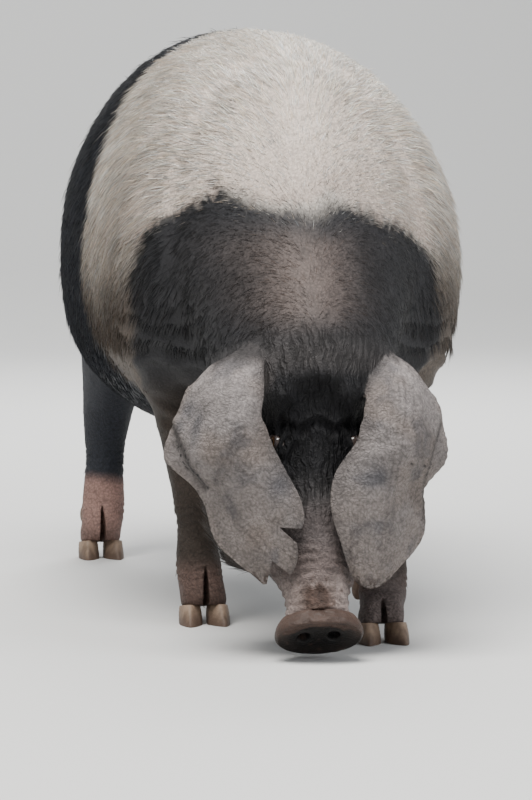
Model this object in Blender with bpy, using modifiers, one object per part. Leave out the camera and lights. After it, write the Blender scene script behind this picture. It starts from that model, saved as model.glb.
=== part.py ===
"""A life-size still model of a domestic pig, a mature lop-eared saddleback sow, rooting with her head down.

Metres, +Z up. She faces -Y, her left side is +X, and the floor under her feet is z = 0.
The flesh is built from swept masses that are fused and smoothed into one body, which thin cuts then part
into head, neck, torso and legs. Ears, eyes, snout disc, claws and tail are shaped on their own.
"""

import math

import bmesh
import bpy
import numpy as np
from mathutils import Matrix, Vector
from mathutils.bvhtree import BVHTree

GAP = 0.0003  # left between neighbouring solids
AROUND = 36  # points round a swept mass
SPAN_STEPS = 4  # rings made between two stations of a table
VOXEL = 0.009  # grid that fuses the masses of the flesh
FUSE_PASSES = 9  # smoothing that rounds the joins between masses
FLESH_TRIANGLES = 4600

# The trunk from brisket to rump: y, back height, belly height, half width, height of the widest line
TRUNK = (
    (-0.435, 0.590, 0.410, 0.070, 0.500),
    (-0.405, 0.665, 0.345, 0.150, 0.490),
    (-0.340, 0.735, 0.302, 0.208, 0.475),
    (-0.240, 0.783, 0.282, 0.242, 0.465),
    (-0.110, 0.806, 0.262, 0.257, 0.455),
    (0.030, 0.814, 0.238, 0.263, 0.450),
    (0.170, 0.816, 0.227, 0.262, 0.450),
    (0.300, 0.810, 0.242, 0.252, 0.455),
    (0.420, 0.790, 0.288, 0.240, 0.465),
    (0.520, 0.752, 0.345, 0.226, 0.480),
    (0.605, 0.700, 0.400, 0.192, 0.500),
    (0.662, 0.636, 0.450, 0.135, 0.525),
    (0.690, 0.580, 0.505, 0.055, 0.545),
)
TRUNK_SQUARENESS = (2.1, 2.25)  # above and below the widest line; 2 is an ellipse

# The neck, from inside the trunk to inside the head: y, z, half width, half depth
NECK = (
    (-0.180, 0.552, 0.225, 0.240),
    (-0.290, 0.527, 0.200, 0.232),
    (-0.400, 0.465, 0.160, 0.192),
    (-0.470, 0.408, 0.134, 0.166),
    (-0.530, 0.350, 0.116, 0.145),
    (-0.566, 0.300, 0.104, 0.120),
)
NECK_SQUARENESS = (1.75, 2.1)

# The head hangs from the poll. Its axis runs up from behind the snout disc, and its up is the bridge's side
HEAD_TIP = Vector((0.0, -0.656, 0.049))
HEAD_PITCH = math.radians(72)  # how far the axis drops below level
HEAD_TURN = math.radians(3)  # towards her right
TURN_START, TURN_END = -0.15, -0.45  # where along y the turn begins and is whole
# distance up the axis, bridge, jaw, half width, level of the widest line, all from the axis
HEAD = (
    (-0.045, 0.040, -0.036, 0.0575, 0.000),
    (-0.026, 0.039, -0.037, 0.0545, 0.000),
    (-0.006, 0.037, -0.038, 0.0495, 0.000),
    (0.016, 0.036, -0.042, 0.0445, -0.002),
    (0.038, 0.037, -0.050, 0.0440, -0.014),
    (0.062, 0.039, -0.061, 0.056, -0.030),
    (0.092, 0.043, -0.076, 0.076, -0.050),
    (0.125, 0.047, -0.092, 0.097, -0.064),
    (0.165, 0.053, -0.106, 0.116, -0.070),
    (0.205, 0.056, -0.117, 0.126, -0.068),
    (0.240, 0.062, -0.125, 0.130, -0.058),
    (0.275, 0.070, -0.130, 0.130, -0.046),
    (0.315, 0.086, -0.132, 0.124, -0.034),
    (0.365, 0.118, -0.122, 0.114, -0.010),
    (0.410, 0.100, -0.095, 0.090, 0.000),
    (0.430, 0.070, -0.060, 0.057, 0.000),
)
HEAD_SQUARENESS = (1.62, 2.2)

# Limbs: height as a share of the shoulder or hip point, half width, half depth, forward bend of the line
FORELEG = (
    (1.12, 0.070, 0.100, -0.010),
    (0.95, 0.066, 0.090, -0.030),
    (0.76, 0.055, 0.070, -0.034),
    (0.58, 0.043, 0.051, -0.014),
    (0.43, 0.037, 0.041, 0.012),
    (0.30, 0.031, 0.033, 0.004),
    (0.21, 0.035, 0.036, -0.008),
    (0.135, 0.036, 0.037, -0.002),
    (0.100, 0.032, 0.037, 0.004),
    (0.065, 0.025, 0.032, 0.008),
)
HIND_LEG = (
    (1.10, 0.075, 0.150, 0.000),
    (0.93, 0.082, 0.150, 0.016),
    (0.76, 0.074, 0.120, 0.024),
    (0.60, 0.057, 0.078, -0.010),
    (0.48, 0.046, 0.056, -0.052),
    (0.40, 0.040, 0.048, -0.066),
    (0.28, 0.033, 0.036, -0.050),
    (0.18, 0.037, 0.037, -0.028),
    (0.115, 0.036, 0.038, -0.008),
    (0.085, 0.032, 0.037, 0.001),
    (0.055, 0.025, 0.032, 0.006),
)
# name: (limb, top point, middle of the foot on the floor, height of the cut that parts it from the body)
LEGS = {
    "leg_front_right": (FORELEG, (-0.148, -0.235, 0.440), (-0.120, -0.262, 0.0), 0.345),
    "leg_front_left": (FORELEG, (0.150, -0.250, 0.440), (0.088, -0.485, 0.0), 0.345),
    "leg_hind_right": (HIND_LEG, (-0.130, 0.455, 0.520), (-0.166, 0.540, 0.0), 0.360),
    "leg_hind_left": (HIND_LEG, (0.132, 0.450, 0.520), (0.150, 0.450, 0.0), 0.360),
}
# Each toe over its claw: its place from the foot, and its half sizes
TOE = ((0.0185, 0.003, 0.034), (0.0165, 0.034, 0.028))
# The cleft between the toes: its place from the foot, and its half sizes
CLEFT = ((0.0, -0.036, 0.024), (0.0050, 0.040, 0.062))
SLEEVE = 0.007  # how far the cut that parts a leg stands off its line

# Rounded masses fused into the flesh: middle and the three half sizes, on her left, then mirrored
SHOULDER = ((0.160, -0.215, 0.480), (0.085, 0.140, 0.190))
HAM = ((0.112, 0.480, 0.480), (0.112, 0.170, 0.180))
# In the head's own frame: across, up the axis, towards the bridge
JOWL = ((0.080, 0.187, -0.075), (0.058, 0.110, 0.057))
BROW = ((0.046, 0.284, 0.064), (0.024, 0.020, 0.024))
CHEEK = ((0.062, 0.180, 0.000), (0.040, 0.070, 0.040))

# Cuts through the flesh: a point on the plane and its normal, towards the head
HEAD_CUT = ((0.0, -0.500, 0.362), (0.0, -0.655, -0.755))
NECK_CUT = ((0.0, -0.345, 0.470), (0.0, -0.880, -0.475))

# The snout disc: middle of its face, how far it looks below level, its roll, half width and half height
DISC = Vector((-0.0005, -0.668, 0.0320))
DISC_PITCH = math.radians(50)
DISC_ROLL = math.radians(4)
DISC_HALF = (0.0575, 0.040)
# depth behind the face and share of the full outline, from the back to the middle of the face
DISC_PROFILE = (
    (0.020, 0.90),
    (0.015, 0.95),
    (0.010, 0.985),
    (0.004, 1.00),
    (0.000, 0.95),
    (0.002, 0.84),
    (0.003, 0.50),
)
NOSTRIL = ((0.0195, -0.002, 0.0), (0.0088, 0.0112, 0.014))

# The eyes: radius, the direction out of the head's line that finds their place, and the lids round them
EYE_RADIUS = 0.0125
EYE_AT = (0.0, 0.228, -0.005)
EYE_TOWARDS = (0.75, 0.04, 0.64)
EYE_DEPTH = 0.0065
LIDS = (0.024, 0.0175, 0.0135)
LID_SLIT = (0.0155, 0.0066, 0.020)

# The line of the mouth: distance up the axis and level from it
MOUTH = ((-0.045, -0.020), (0.010, -0.024), (0.060, -0.034), (0.105, -0.048), (0.135, -0.046))
MOUTH_DEPTH, MOUTH_HALF_HEIGHT = 0.007, 0.0032

# The ears, down from the root: inner edge x z, outer edge x z, forward set, cup, fall-back of the outer edge
EAR_RIGHT = (
    (-0.082, 0.396, -0.104, 0.392, 0.560, 0.000, 0.010),
    (-0.090, 0.390, -0.140, 0.383, 0.618, 0.014, 0.030),
    (-0.095, 0.369, -0.166, 0.376, 0.640, 0.018, 0.045),
    (-0.096, 0.345, -0.191, 0.347, 0.655, 0.020, 0.060),
    (-0.101, 0.322, -0.206, 0.311, 0.662, 0.024, 0.070),
    (-0.094, 0.294, -0.219, 0.276, 0.660, 0.028, 0.085),
    (-0.082, 0.268, -0.216, 0.253, 0.657, 0.030, 0.080),
    (-0.065, 0.238, -0.184, 0.225, 0.655, 0.030, 0.060),
    (-0.051, 0.209, -0.168, 0.200, 0.653, 0.028, 0.055),
    (-0.047, 0.183, -0.162, 0.173, 0.651, 0.026, 0.050),
    (-0.056, 0.159, -0.153, 0.150, 0.650, 0.022, 0.043),
    (-0.055, 0.137, -0.136, 0.133, 0.650, 0.018, 0.030),
    (-0.063, 0.114, -0.111, 0.112, 0.649, 0.008, 0.012),
    (-0.085, 0.102, -0.097, 0.100, 0.648, 0.000, 0.003),
)
EAR_LEFT = (
    (0.052, 0.384, 0.076, 0.380, 0.520, 0.000, 0.010),
    (0.056, 0.380, 0.104, 0.371, 0.585, 0.014, 0.030),
    (0.046, 0.366, 0.120, 0.358, 0.606, 0.018, 0.045),
    (0.036, 0.347, 0.136, 0.337, 0.638, 0.020, 0.060),
    (0.029, 0.320, 0.147, 0.303, 0.652, 0.024, 0.070),
    (0.024, 0.289, 0.155, 0.268, 0.655, 0.028, 0.085),
    (0.008, 0.266, 0.150, 0.246, 0.655, 0.030, 0.080),
    (-0.007, 0.243, 0.124, 0.220, 0.654, 0.030, 0.060),
    (-0.013, 0.216, 0.122, 0.199, 0.653, 0.028, 0.055),
    (-0.011, 0.189, 0.121, 0.168, 0.651, 0.026, 0.050),
    (-0.001, 0.158, 0.112, 0.144, 0.650, 0.022, 0.043),
    (0.007, 0.133, 0.086, 0.119, 0.650, 0.018, 0.030),
    (0.020, 0.105, 0.065, 0.099, 0.649, 0.008, 0.012),
    (0.036, 0.094, 0.047, 0.092, 0.648, 0.000, 0.003),
)
EAR_COLUMNS = 10
EAR_FULLNESS = 0.65  # below 1 the ears' edges turn back more sharply
EAR_THICKNESS = (0.036, 0.0055)  # at the root and at the tip
EAR_SMOOTHING = 6
EAR_CLEARANCE = 0.014  # between an ear and the face it hangs over
EAR_FREE = 0.36  # below this height the ears hang clear of the face
# The torn edge of the right ear: notches as mouth, point and other side of the mouth, x z
TEARS = (
    ((-0.030, 0.171), (-0.080, 0.176), (-0.038, 0.138)),
    ((-0.059, 0.110), (-0.0885, 0.1315), (-0.096, 0.084)),
)

# The claws: half width, half length, height at the toe and at the heel, and how far from the foot's middle
CLAW = (0.0158, 0.036, 0.033, 0.020, 0.0190)
CLAW_TOE_OUT = 0.005
# Rings up a claw: share of the height, width, length, shift towards the heel
CLAW_RINGS = (
    (0.0, 1.0, 1.0, 0.0),
    (0.35, 1.0, 0.90, 0.0035),
    (0.75, 0.95, 0.76, 0.0085),
    (1.0, 0.90, 0.68, 0.0115),
)
CLAW_FORWARD = 0.010
DEWCLAW = (0.0092, 0.0125, 0.0185)
DEWCLAW_AT = (0.019, 0.034, 0.064)

# The tail: points of its line from inside the rump, radius at each
TAIL = (
    (0.000, 0.610, 0.618, 0.024),
    (0.000, 0.655, 0.618, 0.022),
    (0.002, 0.690, 0.603, 0.018),
    (0.006, 0.706, 0.565, 0.0145),
    (0.010, 0.706, 0.520, 0.012),
    (0.008, 0.699, 0.475, 0.010),
    (0.000, 0.696, 0.435, 0.0085),
    (-0.006, 0.704, 0.400, 0.007),
    (-0.004, 0.716, 0.372, 0.0055),
)

# Colour and roughness by the start of a node's name
SURFACES = {
    "torso": ((0.62, 0.55, 0.45), 0.75),
    "neck": ((0.20, 0.17, 0.15), 0.75),
    "head": ((0.10, 0.09, 0.09), 0.72),
    "ear": ((0.24, 0.21, 0.19), 0.74),
    "leg_front": ((0.36, 0.29, 0.24), 0.75),
    "leg_hind": ((0.035, 0.034, 0.036), 0.72),
    "tail": ((0.035, 0.034, 0.036), 0.72),
    "snout": ((0.26, 0.18, 0.15), 0.55),
    "eye": ((0.03, 0.015, 0.010), 0.08),
    "claw": ((0.34, 0.23, 0.18), 0.50),
    "dewclaw": ((0.28, 0.20, 0.16), 0.50),
}

# Bristle locks: the turn of each row round the trunk from the top in degrees, how many, and its ends in y
LOCK_ROWS = ((0, 12), (26, 9), (-26, 9), (56, 7), (-56, 7), (84, 5), (-84, 5))
LOCK_SPAN = (-0.26, 0.60)
LOCK = (0.050, 0.0075, 0.0028)  # length, half width, half thickness
LOCK_LIFT = 0.30  # how steeply a lock leaves the skin
LOCK_TIP = 0.007  # how far its tip stands off the skin's line
NECK_LOCKS = 7
TAIL_LOCKS = 7

# The teats: pairs, first and last y, distance from the middle line, radius, length
TEATS = (6, -0.130, 0.330, 0.062, 0.0065, 0.019)


def smooth_rows(rows, steps=SPAN_STEPS):
    """Carries a table's rows along a Catmull-Rom curve through all of them, in equal steps between rows."""
    rows = np.asarray(rows, float)
    padded = np.vstack([2 * rows[0] - rows[1], rows, 2 * rows[-1] - rows[-2]])
    t = np.linspace(0, 1, steps, endpoint=False)[:, None]
    spans = []
    for a, b, c, d in zip(padded, padded[1:], padded[2:], padded[3:]):
        spans.append(
            0.5 * (2 * b + (c - a) * t + (2 * a - 5 * b + 4 * c - d) * t**2 + (3 * b - a - 3 * c + d) * t**3)
        )
    return np.vstack([*spans, rows[-1:]])


def outline(half_width, above, below, squareness, count=AROUND):
    """A closed ring: a superellipse whose upper and lower halves have their own height and squareness."""
    angle = np.arange(count) * 2 * np.pi / count
    c, s = np.cos(angle), np.sin(angle)
    power = np.where(s >= 0, 2 / squareness[0], 2 / squareness[1])
    across = half_width * np.sign(c) * np.abs(c) ** power
    up = np.where(s >= 0, above, below) * np.sign(s) * np.abs(s) ** power
    return across, up


def new_object(name, mesh, matrix=None):
    obj = bpy.data.objects.new(name, mesh)
    bpy.context.scene.collection.objects.link(obj)
    if matrix is not None:
        mesh.transform(matrix)
    return obj


def swept(name, rings):
    """A closed mesh through equal rings of points, each end drawn to a point at its ring's middle."""
    rings = np.asarray(rings, float)
    lines, count = rings.shape[:2]
    points = np.vstack([rings.reshape(-1, 3), rings[0].mean(0), rings[-1].mean(0)])
    first, last = lines * count, lines * count + 1
    j = np.arange(count)
    k = (j + 1) % count
    faces = []
    for i in range(lines - 1):
        near, far = i * count, (i + 1) * count
        faces += np.stack([near + j, near + k, far + k, far + j], 1).tolist()
    faces += np.stack([k, j, np.full(count, first)], 1).tolist()
    end = (lines - 1) * count
    faces += np.stack([end + j, end + k, np.full(count, last)], 1).tolist()
    mesh = bpy.data.meshes.new(name)
    mesh.from_pydata(points.tolist(), [], faces)
    outward(mesh)
    return new_object(name, mesh)


def outward(mesh):
    """Turns every face of a closed mesh outwards."""
    bm = bmesh.new()
    bm.from_mesh(mesh)
    bmesh.ops.recalc_face_normals(bm, faces=bm.faces)
    if bm.calc_volume(signed=True) < 0:
        bmesh.ops.reverse_faces(bm, faces=bm.faces)
    bm.to_mesh(mesh)
    bm.free()


def ellipsoid(name, middle, half_sizes, frame=None, segments=28):
    bm = bmesh.new()
    bmesh.ops.create_uvsphere(bm, u_segments=segments, v_segments=segments // 2, radius=1)
    mesh = bpy.data.meshes.new(name)
    bm.to_mesh(mesh)
    bm.free()
    place = Matrix.Translation(middle) @ Matrix.Diagonal((*half_sizes, 1))
    return new_object(name, mesh, place if frame is None else frame @ place)


def head_frame():
    """Takes (across, up the axis, towards the bridge) to the pig's own frame."""
    axis = Vector((0, math.cos(HEAD_PITCH), math.sin(HEAD_PITCH)))
    bridge = Vector((0, -math.sin(HEAD_PITCH), math.cos(HEAD_PITCH)))
    frame = Matrix.Identity(4)
    frame.col[1][:3], frame.col[2][:3], frame.col[3][:3] = axis, bridge, HEAD_TIP
    return frame


def turned(points):
    """Swings what lies ahead of the shoulders towards her right, growing smoothly along the neck."""
    points = np.array(points, float)
    share = np.clip((points[:, 1] - TURN_START) / (TURN_END - TURN_START), 0, 1)
    angle = -HEAD_TURN * share * share * (3 - 2 * share)
    ahead = points[:, 1] - TURN_START
    moved = points.copy()
    moved[:, 0] = points[:, 0] * np.cos(angle) - ahead * np.sin(angle)
    moved[:, 1] = TURN_START + points[:, 0] * np.sin(angle) + ahead * np.cos(angle)
    return moved


def turn_mesh(obj):
    mesh = obj.data
    points = np.empty(len(mesh.vertices) * 3, np.float32)
    mesh.vertices.foreach_get("co", points)
    mesh.vertices.foreach_set("co", turned(points.reshape(-1, 3)).astype(np.float32).ravel())
    mesh.update()
    return obj


def trunk():
    rings = []
    for y, back, belly, half_width, widest in smooth_rows(TRUNK):
        across, up = outline(half_width, back - widest, widest - belly, TRUNK_SQUARENESS)
        rings.append(np.stack([across, np.full(AROUND, y), widest + up], 1))
    return swept("trunk", rings)


def neck():
    rows = smooth_rows(NECK)
    heading = np.gradient(rows[:, :2], axis=0)
    heading /= np.linalg.norm(heading, axis=1)[:, None]
    rings = []
    for (y, z, half_width, depth), (run, rise) in zip(rows, heading):
        across, up = outline(half_width, depth, depth, NECK_SQUARENESS)
        rings.append(np.stack([across, y + up * rise, z - up * run], 1))
    return turn_mesh(swept("neck_mass", rings))


def head():
    frame = np.array(head_frame())
    rings = []
    for up_axis, bridge, jaw, half_width, widest in smooth_rows(HEAD):
        across, level = outline(half_width, bridge - widest, widest - jaw, HEAD_SQUARENESS)
        local = np.stack([across, np.full(AROUND, up_axis), widest + level, np.ones(AROUND)], 1)
        rings.append((local @ frame.T)[:, :3])
    return turn_mesh(swept("head_mass", rings))


def limb_rings(table, top, foot, extra=0.0, flare=0.0):
    """Rings down a limb; extra widens them all, and flare widens them towards the top."""
    top, foot = np.array(top), np.array(foot)
    rings = []
    for share, half_width, half_depth, bend in smooth_rows(table):
        middle = foot + (top - foot) * share
        middle[1] -= bend
        grow = extra + flare * max(0.0, share - 0.4)
        across, along = outline(half_width + grow, half_depth + grow, half_depth + grow, (2.1, 2.1), 28)
        rings.append(np.stack([middle[0] + across, middle[1] + along, np.full(28, middle[2])], 1))
    return rings


def mirrored_ellipsoids(name, shape, frame=None, turn=False):
    (x, y, z), sizes = shape
    made = [ellipsoid(f"{name}_{side}", (side * x, y, z), sizes, frame) for side in (1, -1)]
    return [turn_mesh(obj) for obj in made] if turn else made


def toes(foot):
    (x, y, z), sizes = TOE
    return [ellipsoid("toe", (foot[0] + side * x, foot[1] + y, z), sizes) for side in (1, -1)]


def joined(name, objects):
    """One mesh object from several, their meshes simply put together."""
    bm = bmesh.new()
    for obj in objects:
        bm.from_mesh(obj.data)
        bpy.data.objects.remove(obj)
    mesh = bpy.data.meshes.new(name)
    bm.to_mesh(mesh)
    bm.free()
    return new_object(name, mesh)


def applied(obj):
    """Makes the object's evaluated mesh its own, with no modifiers left."""
    graph = bpy.context.evaluated_depsgraph_get()
    mesh = bpy.data.meshes.new_from_object(obj.evaluated_get(graph))
    obj.modifiers.clear()
    obj.data = mesh
    return obj


def fused_flesh():
    """The swept masses and the rounded ones put together, fused on a grid and smoothed."""
    masses = [trunk(), neck(), head()]
    masses += mirrored_ellipsoids("shoulder", SHOULDER)
    masses += mirrored_ellipsoids("ham", HAM)
    for name, shape in (("jowl", JOWL), ("brow", BROW), ("cheek", CHEEK)):
        masses += mirrored_ellipsoids(name, shape, head_frame(), turn=True)
    for name, (table, top, foot, _) in LEGS.items():
        masses += [swept(name, limb_rings(table, top, foot)), *toes(foot)]
    flesh = joined("flesh", masses)
    fuse = flesh.modifiers.new("fuse", "REMESH")
    fuse.mode, fuse.voxel_size = "VOXEL", VOXEL
    smooth = flesh.modifiers.new("smooth", "SMOOTH")
    smooth.factor, smooth.iterations = 0.5, FUSE_PASSES
    return applied(flesh)


def duplicate(obj, name):
    return new_object(name, obj.data.copy())


def halved(obj, point, normal, name):
    """A copy of what lies on the normal's side of a plane, the cut closed by one flat face."""
    bm = bmesh.new()
    bm.from_mesh(obj.data)
    everything = bm.verts[:] + bm.edges[:] + bm.faces[:]
    bmesh.ops.bisect_plane(bm, geom=everything, plane_co=point, plane_no=normal, clear_inner=True)
    rim = [edge for edge in bm.edges if edge.is_boundary]
    bmesh.ops.holes_fill(bm, edges=rim)
    bmesh.ops.triangulate(bm, faces=[face for face in bm.faces if len(face.verts) > 4])
    largest_piece(bm)
    mesh = bpy.data.meshes.new(name)
    bm.to_mesh(mesh)
    bm.free()
    return new_object(name, mesh)


def largest_piece(bm):
    """Leaves only the loose piece with most faces."""
    left, pieces = set(bm.faces), []
    while left:
        piece, queue = set(), [next(iter(left))]
        while queue:
            face = queue.pop()
            if face in piece:
                continue
            piece.add(face)
            queue += [other for edge in face.edges for other in edge.link_faces if other not in piece]
        left -= piece
        pieces.append(piece)
    pieces.sort(key=len)
    spare = [face for piece in pieces[:-1] for face in piece]
    bmesh.ops.delete(bm, geom=spare, context="FACES")


def cut(obj, tool, operation="DIFFERENCE"):
    """Applies one Boolean and keeps the largest closed surface."""
    step = obj.modifiers.new("cut", "BOOLEAN")
    step.operation, step.solver, step.object = operation, "EXACT", tool
    applied(obj)
    bpy.data.objects.remove(tool)
    bm = bmesh.new()
    bm.from_mesh(obj.data)
    bmesh.ops.remove_doubles(bm, verts=bm.verts, dist=1e-6)
    largest_piece(bm)
    bm.to_mesh(obj.data)
    bm.free()
    return obj


def grown(obj, distance):
    """A copy pushed outwards along its normals."""
    copy = duplicate(obj, "grown")
    bm = bmesh.new()
    bm.from_mesh(copy.data)
    bm.normal_update()
    for vert in bm.verts:
        vert.co += vert.normal * distance
    bm.to_mesh(copy.data)
    bm.free()
    return copy


def sleeve(name, extra):
    """The solid that parts a leg from the body: its own rings, widened, under the height of its cut."""
    table, top, foot, height = LEGS[name]
    rings = [ring for ring in limb_rings(table, top, foot, extra, flare=0.02) if ring[0][2] < height]
    under = rings[-1].copy()
    under[:, 2] -= 0.06
    lid = rings[0].copy()
    lid[:, 2] = height + extra - SLEEVE
    return swept(f"sleeve_{name}", [lid, *rings, under])


def disc_frame():
    """Takes (across, up in the face, out of the face) to the pig's own frame, before the head's turn."""
    out = Vector((0, -math.cos(DISC_PITCH), -math.sin(DISC_PITCH)))
    up = Vector((0, -math.sin(DISC_PITCH), math.cos(DISC_PITCH)))
    across = up.cross(out)
    frame = Matrix.Identity(4)
    frame.col[0][:3], frame.col[1][:3], frame.col[2][:3], frame.col[3][:3] = across, up, out, DISC
    return frame @ Matrix.Rotation(DISC_ROLL, 4, "Z")


def snout_disc():
    rings = []
    for depth, share in smooth_rows(DISC_PROFILE, 1):
        half, height = DISC_HALF[0] * share, DISC_HALF[1] * share
        across, up = outline(half, height, height, (2.3, 2.1), 24)
        rings.append(np.stack([across, up, np.full(24, -depth)], 1))
    disc = swept("snout_disc", rings)
    disc.data.transform(disc_frame())
    outward(disc.data)
    turn_mesh(disc)
    (x, y, z), sizes = NOSTRIL
    for side in (1, -1):
        cut(disc, turn_mesh(ellipsoid("nostril", (side * x, y, z), sizes, disc_frame(), 14)))
    return disc


def mouth_cutters():
    """Two thin wedges that follow the sides of the muzzle and press the line of the mouth into them."""
    stations = smooth_rows(HEAD, 8)
    frame = np.array(head_frame())
    made = []
    for side in (1, -1):
        rings = []
        for up_axis, level in smooth_rows(MOUTH, 4):
            values = [np.interp(up_axis, stations[:, 0], stations[:, k]) for k in (1, 2, 3, 4)]
            bridge, jaw, half_width, widest = values
            reach = (level - widest) / (bridge - widest if level > widest else widest - jaw)
            power = HEAD_SQUARENESS[0] if level > widest else HEAD_SQUARENESS[1]
            x = half_width * (1 - min(abs(reach), 0.98) ** power) ** (1 / power)
            open_half = MOUTH_HALF_HEIGHT * 2.6
            section = ((-MOUTH_DEPTH, 0), (0.014, open_half), (0.014, -open_half))
            local = np.array([(side * (x + out), up_axis, level + up, 1) for out, up in section])
            rings.append((local @ frame.T)[:, :3])
        made.append(turn_mesh(swept(f"mouth_{side}", rings)))
    return made


def tree_of(obj):
    """Finds where a ray meets the object's mesh."""
    return BVHTree.FromPolygons([v.co for v in obj.data.vertices], [p.vertices for p in obj.data.polygons])


def eyes(head_node, tree):
    """Raises the lids, opens them and sets an eye in each socket."""
    frame = head_frame()
    made = []
    for name, side in (("eye_left", 1), ("eye_right", -1)):
        start = frame @ Vector(EYE_AT)
        out = (frame.to_3x3() @ Vector((side * EYE_TOWARDS[0], *EYE_TOWARDS[1:]))).normalized()
        start, tip = [Vector(p) for p in turned([start, start + out])]
        out = (tip - start).normalized()
        hit, _, _, _ = tree.ray_cast(start + out * 0.3, -out)
        along = (frame.to_3x3() @ Vector((0, 1, 0))).normalized()
        along = (along - out * along.dot(out)).normalized()
        across = out.cross(along)
        middle = hit - out * EYE_DEPTH
        place = Matrix.Identity(4)
        place.col[0][:3], place.col[1][:3], place.col[2][:3], place.col[3][:3] = along, across, out, middle
        cut(head_node, ellipsoid("lids", (0, 0, 0), LIDS, place, 20), "UNION")
        cut(head_node, ellipsoid("slit", (0, 0, 0.010), LID_SLIT, place, 16))
        cut(head_node, ellipsoid("socket", (0, 0, 0), (EYE_RADIUS + 2 * GAP,) * 3, place, 14))
        made.append(ellipsoid(name, (0, 0, 0), (EYE_RADIUS,) * 3, place, 14))
    return made


def ear_point_rows(table, tree):
    """The ear's middle sheet: rows down from the root, each from the inner edge to the outer."""
    rows = smooth_rows(table, 2)
    u = np.linspace(0, 1, EAR_COLUMNS)
    sheet = []
    for inner_x, inner_z, outer_x, outer_z, forward, cup, fall in rows:
        x = inner_x + (outer_x - inner_x) * u
        z = inner_z + (outer_z - inner_z) * u
        y = -forward - cup * np.sin(np.pi * u) ** EAR_FULLNESS + fall * u**2.2
        for k in range(EAR_COLUMNS):
            hit, _, _, _ = tree.ray_cast(Vector((x[k], -1.2, z[k])), Vector((0, 1, 0)))
            if hit is not None:
                y[k] = min(y[k], hit.y - EAR_CLEARANCE) if z[k] < EAR_FREE else y[k]
        sheet.append(np.stack([x, y, z], 1))
    return np.array(sheet)


def ear(name, table, tree):
    sheet = ear_point_rows(table, tree)
    for _ in range(EAR_SMOOTHING):
        padded = np.pad(sheet[:, :, 1], 1, mode="edge")
        around = (padded[:-2, 1:-1] + padded[2:, 1:-1] + padded[1:-1, :-2] + padded[1:-1, 2:]) / 4
        sheet[:, :, 1] = (sheet[:, :, 1] + around) / 2
    down = np.gradient(sheet, axis=0)
    over = np.gradient(sheet, axis=1)
    normal = np.cross(down, over)
    normal /= np.linalg.norm(normal, axis=2)[:, :, None] + 1e-12
    if normal[:, :, 1].mean() > 0:
        normal = -normal
    root, tip = EAR_THICKNESS
    share = np.linspace(0, 1, len(sheet))[:, None, None]
    thickness = tip + (root - tip) * (1 - share) ** 3
    edge = np.sin(np.pi * np.clip(np.linspace(0, 1, EAR_COLUMNS), 0.06, 0.94))[None, :, None] ** 0.35
    front = sheet + normal * thickness * 0.5 * edge
    back = sheet - normal * thickness * 0.5 * edge
    rings = [np.vstack([f, b[::-1]]) for f, b in zip(front, back)]
    return swept(name, rings)


def tear(flap):
    """Cuts the notches of the torn edge straight through the flap."""
    for notch in TEARS:
        rings = [[(x, y, z) for x, z in notch] for y in (-0.80, -0.30)]
        cut(flap, swept("notch", rings))


def claws(name, leg):
    """The two claws and two dewclaws of one foot."""
    table, top, foot, _ = LEGS[name]
    half_width, half_length, toe_height, heel_height, stand = CLAW
    made = []
    for part, side in (("inner", -1), ("outer", 1)):
        side *= -1 if foot[0] < 0 else 1
        rings = []
        for share, width, length, shift in CLAW_RINGS:
            angle = np.arange(12) * 2 * np.pi / 12
            along = -np.cos(angle) * half_length * length
            across = np.sin(angle) * half_width * width
            across *= 1 - 0.42 * np.clip(-along / half_length, 0, 1) ** 2
            across += side * CLAW_TOE_OUT * (along < 0) * (along / half_length) ** 2
            back = along + shift
            height = heel_height + (toe_height - heel_height) * (0.5 - back / (2 * half_length))
            x = foot[0] + side * stand + across
            y = foot[1] - CLAW_FORWARD + back
            rings.append(np.stack([x, y, height * share], 1))
        made.append(swept(f"claw_{part}_{name[4:]}", rings))
    for part, side in (("inner", -1), ("outer", 1)):
        side *= -1 if foot[0] < 0 else 1
        x, y, z = DEWCLAW_AT
        y += (top[1] - foot[1]) * z / top[2] - np.interp(z / top[2], *np.array(table)[::-1, [0, 3]].T)
        body = ellipsoid(f"dewclaw_{part}_{name[4:]}", (0, 0, 0), DEWCLAW, None, 8)
        place = Matrix.Translation((foot[0] + side * x, foot[1] + y, z))
        body.data.transform(place @ Matrix.Rotation(0.5, 4, "X"))
        made.append(cut(body, grown(leg, 3 * GAP)))
    return made


def tail():
    rows = smooth_rows(TAIL, 3)
    heading = np.gradient(rows[:, :3], axis=0)
    heading /= np.linalg.norm(heading, axis=1)[:, None]
    rings = []
    for row, ahead in zip(rows, heading):
        side = np.cross(ahead, (0, -1, 0.35))
        side /= np.linalg.norm(side)
        up = np.cross(side, ahead)
        angle = np.arange(10) * 2 * np.pi / 10
        rings.append(row[:3] + row[3] * (np.cos(angle)[:, None] * side + np.sin(angle)[:, None] * up))
    return swept("tail", rings)


def collected(title, objects):
    """Puts the nodes into one collection, each with its own material."""
    collection = bpy.data.collections.new(title)
    bpy.context.scene.collection.children.link(collection)
    for obj in objects:
        for owner in list(obj.users_collection):
            owner.objects.unlink(obj)
        collection.objects.link(obj)
        colour, roughness = next(value for start, value in SURFACES.items() if obj.name.startswith(start))
        material = bpy.data.materials.new(obj.name)
        material.use_nodes = True
        shader = material.node_tree.nodes["Principled BSDF"]
        shader.inputs["Base Color"].default_value = (*colour, 1)
        shader.inputs["Roughness"].default_value = roughness
        shader.inputs["Metallic"].default_value = 0
        obj.data.materials.clear()
        obj.data.materials.append(material)


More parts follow.
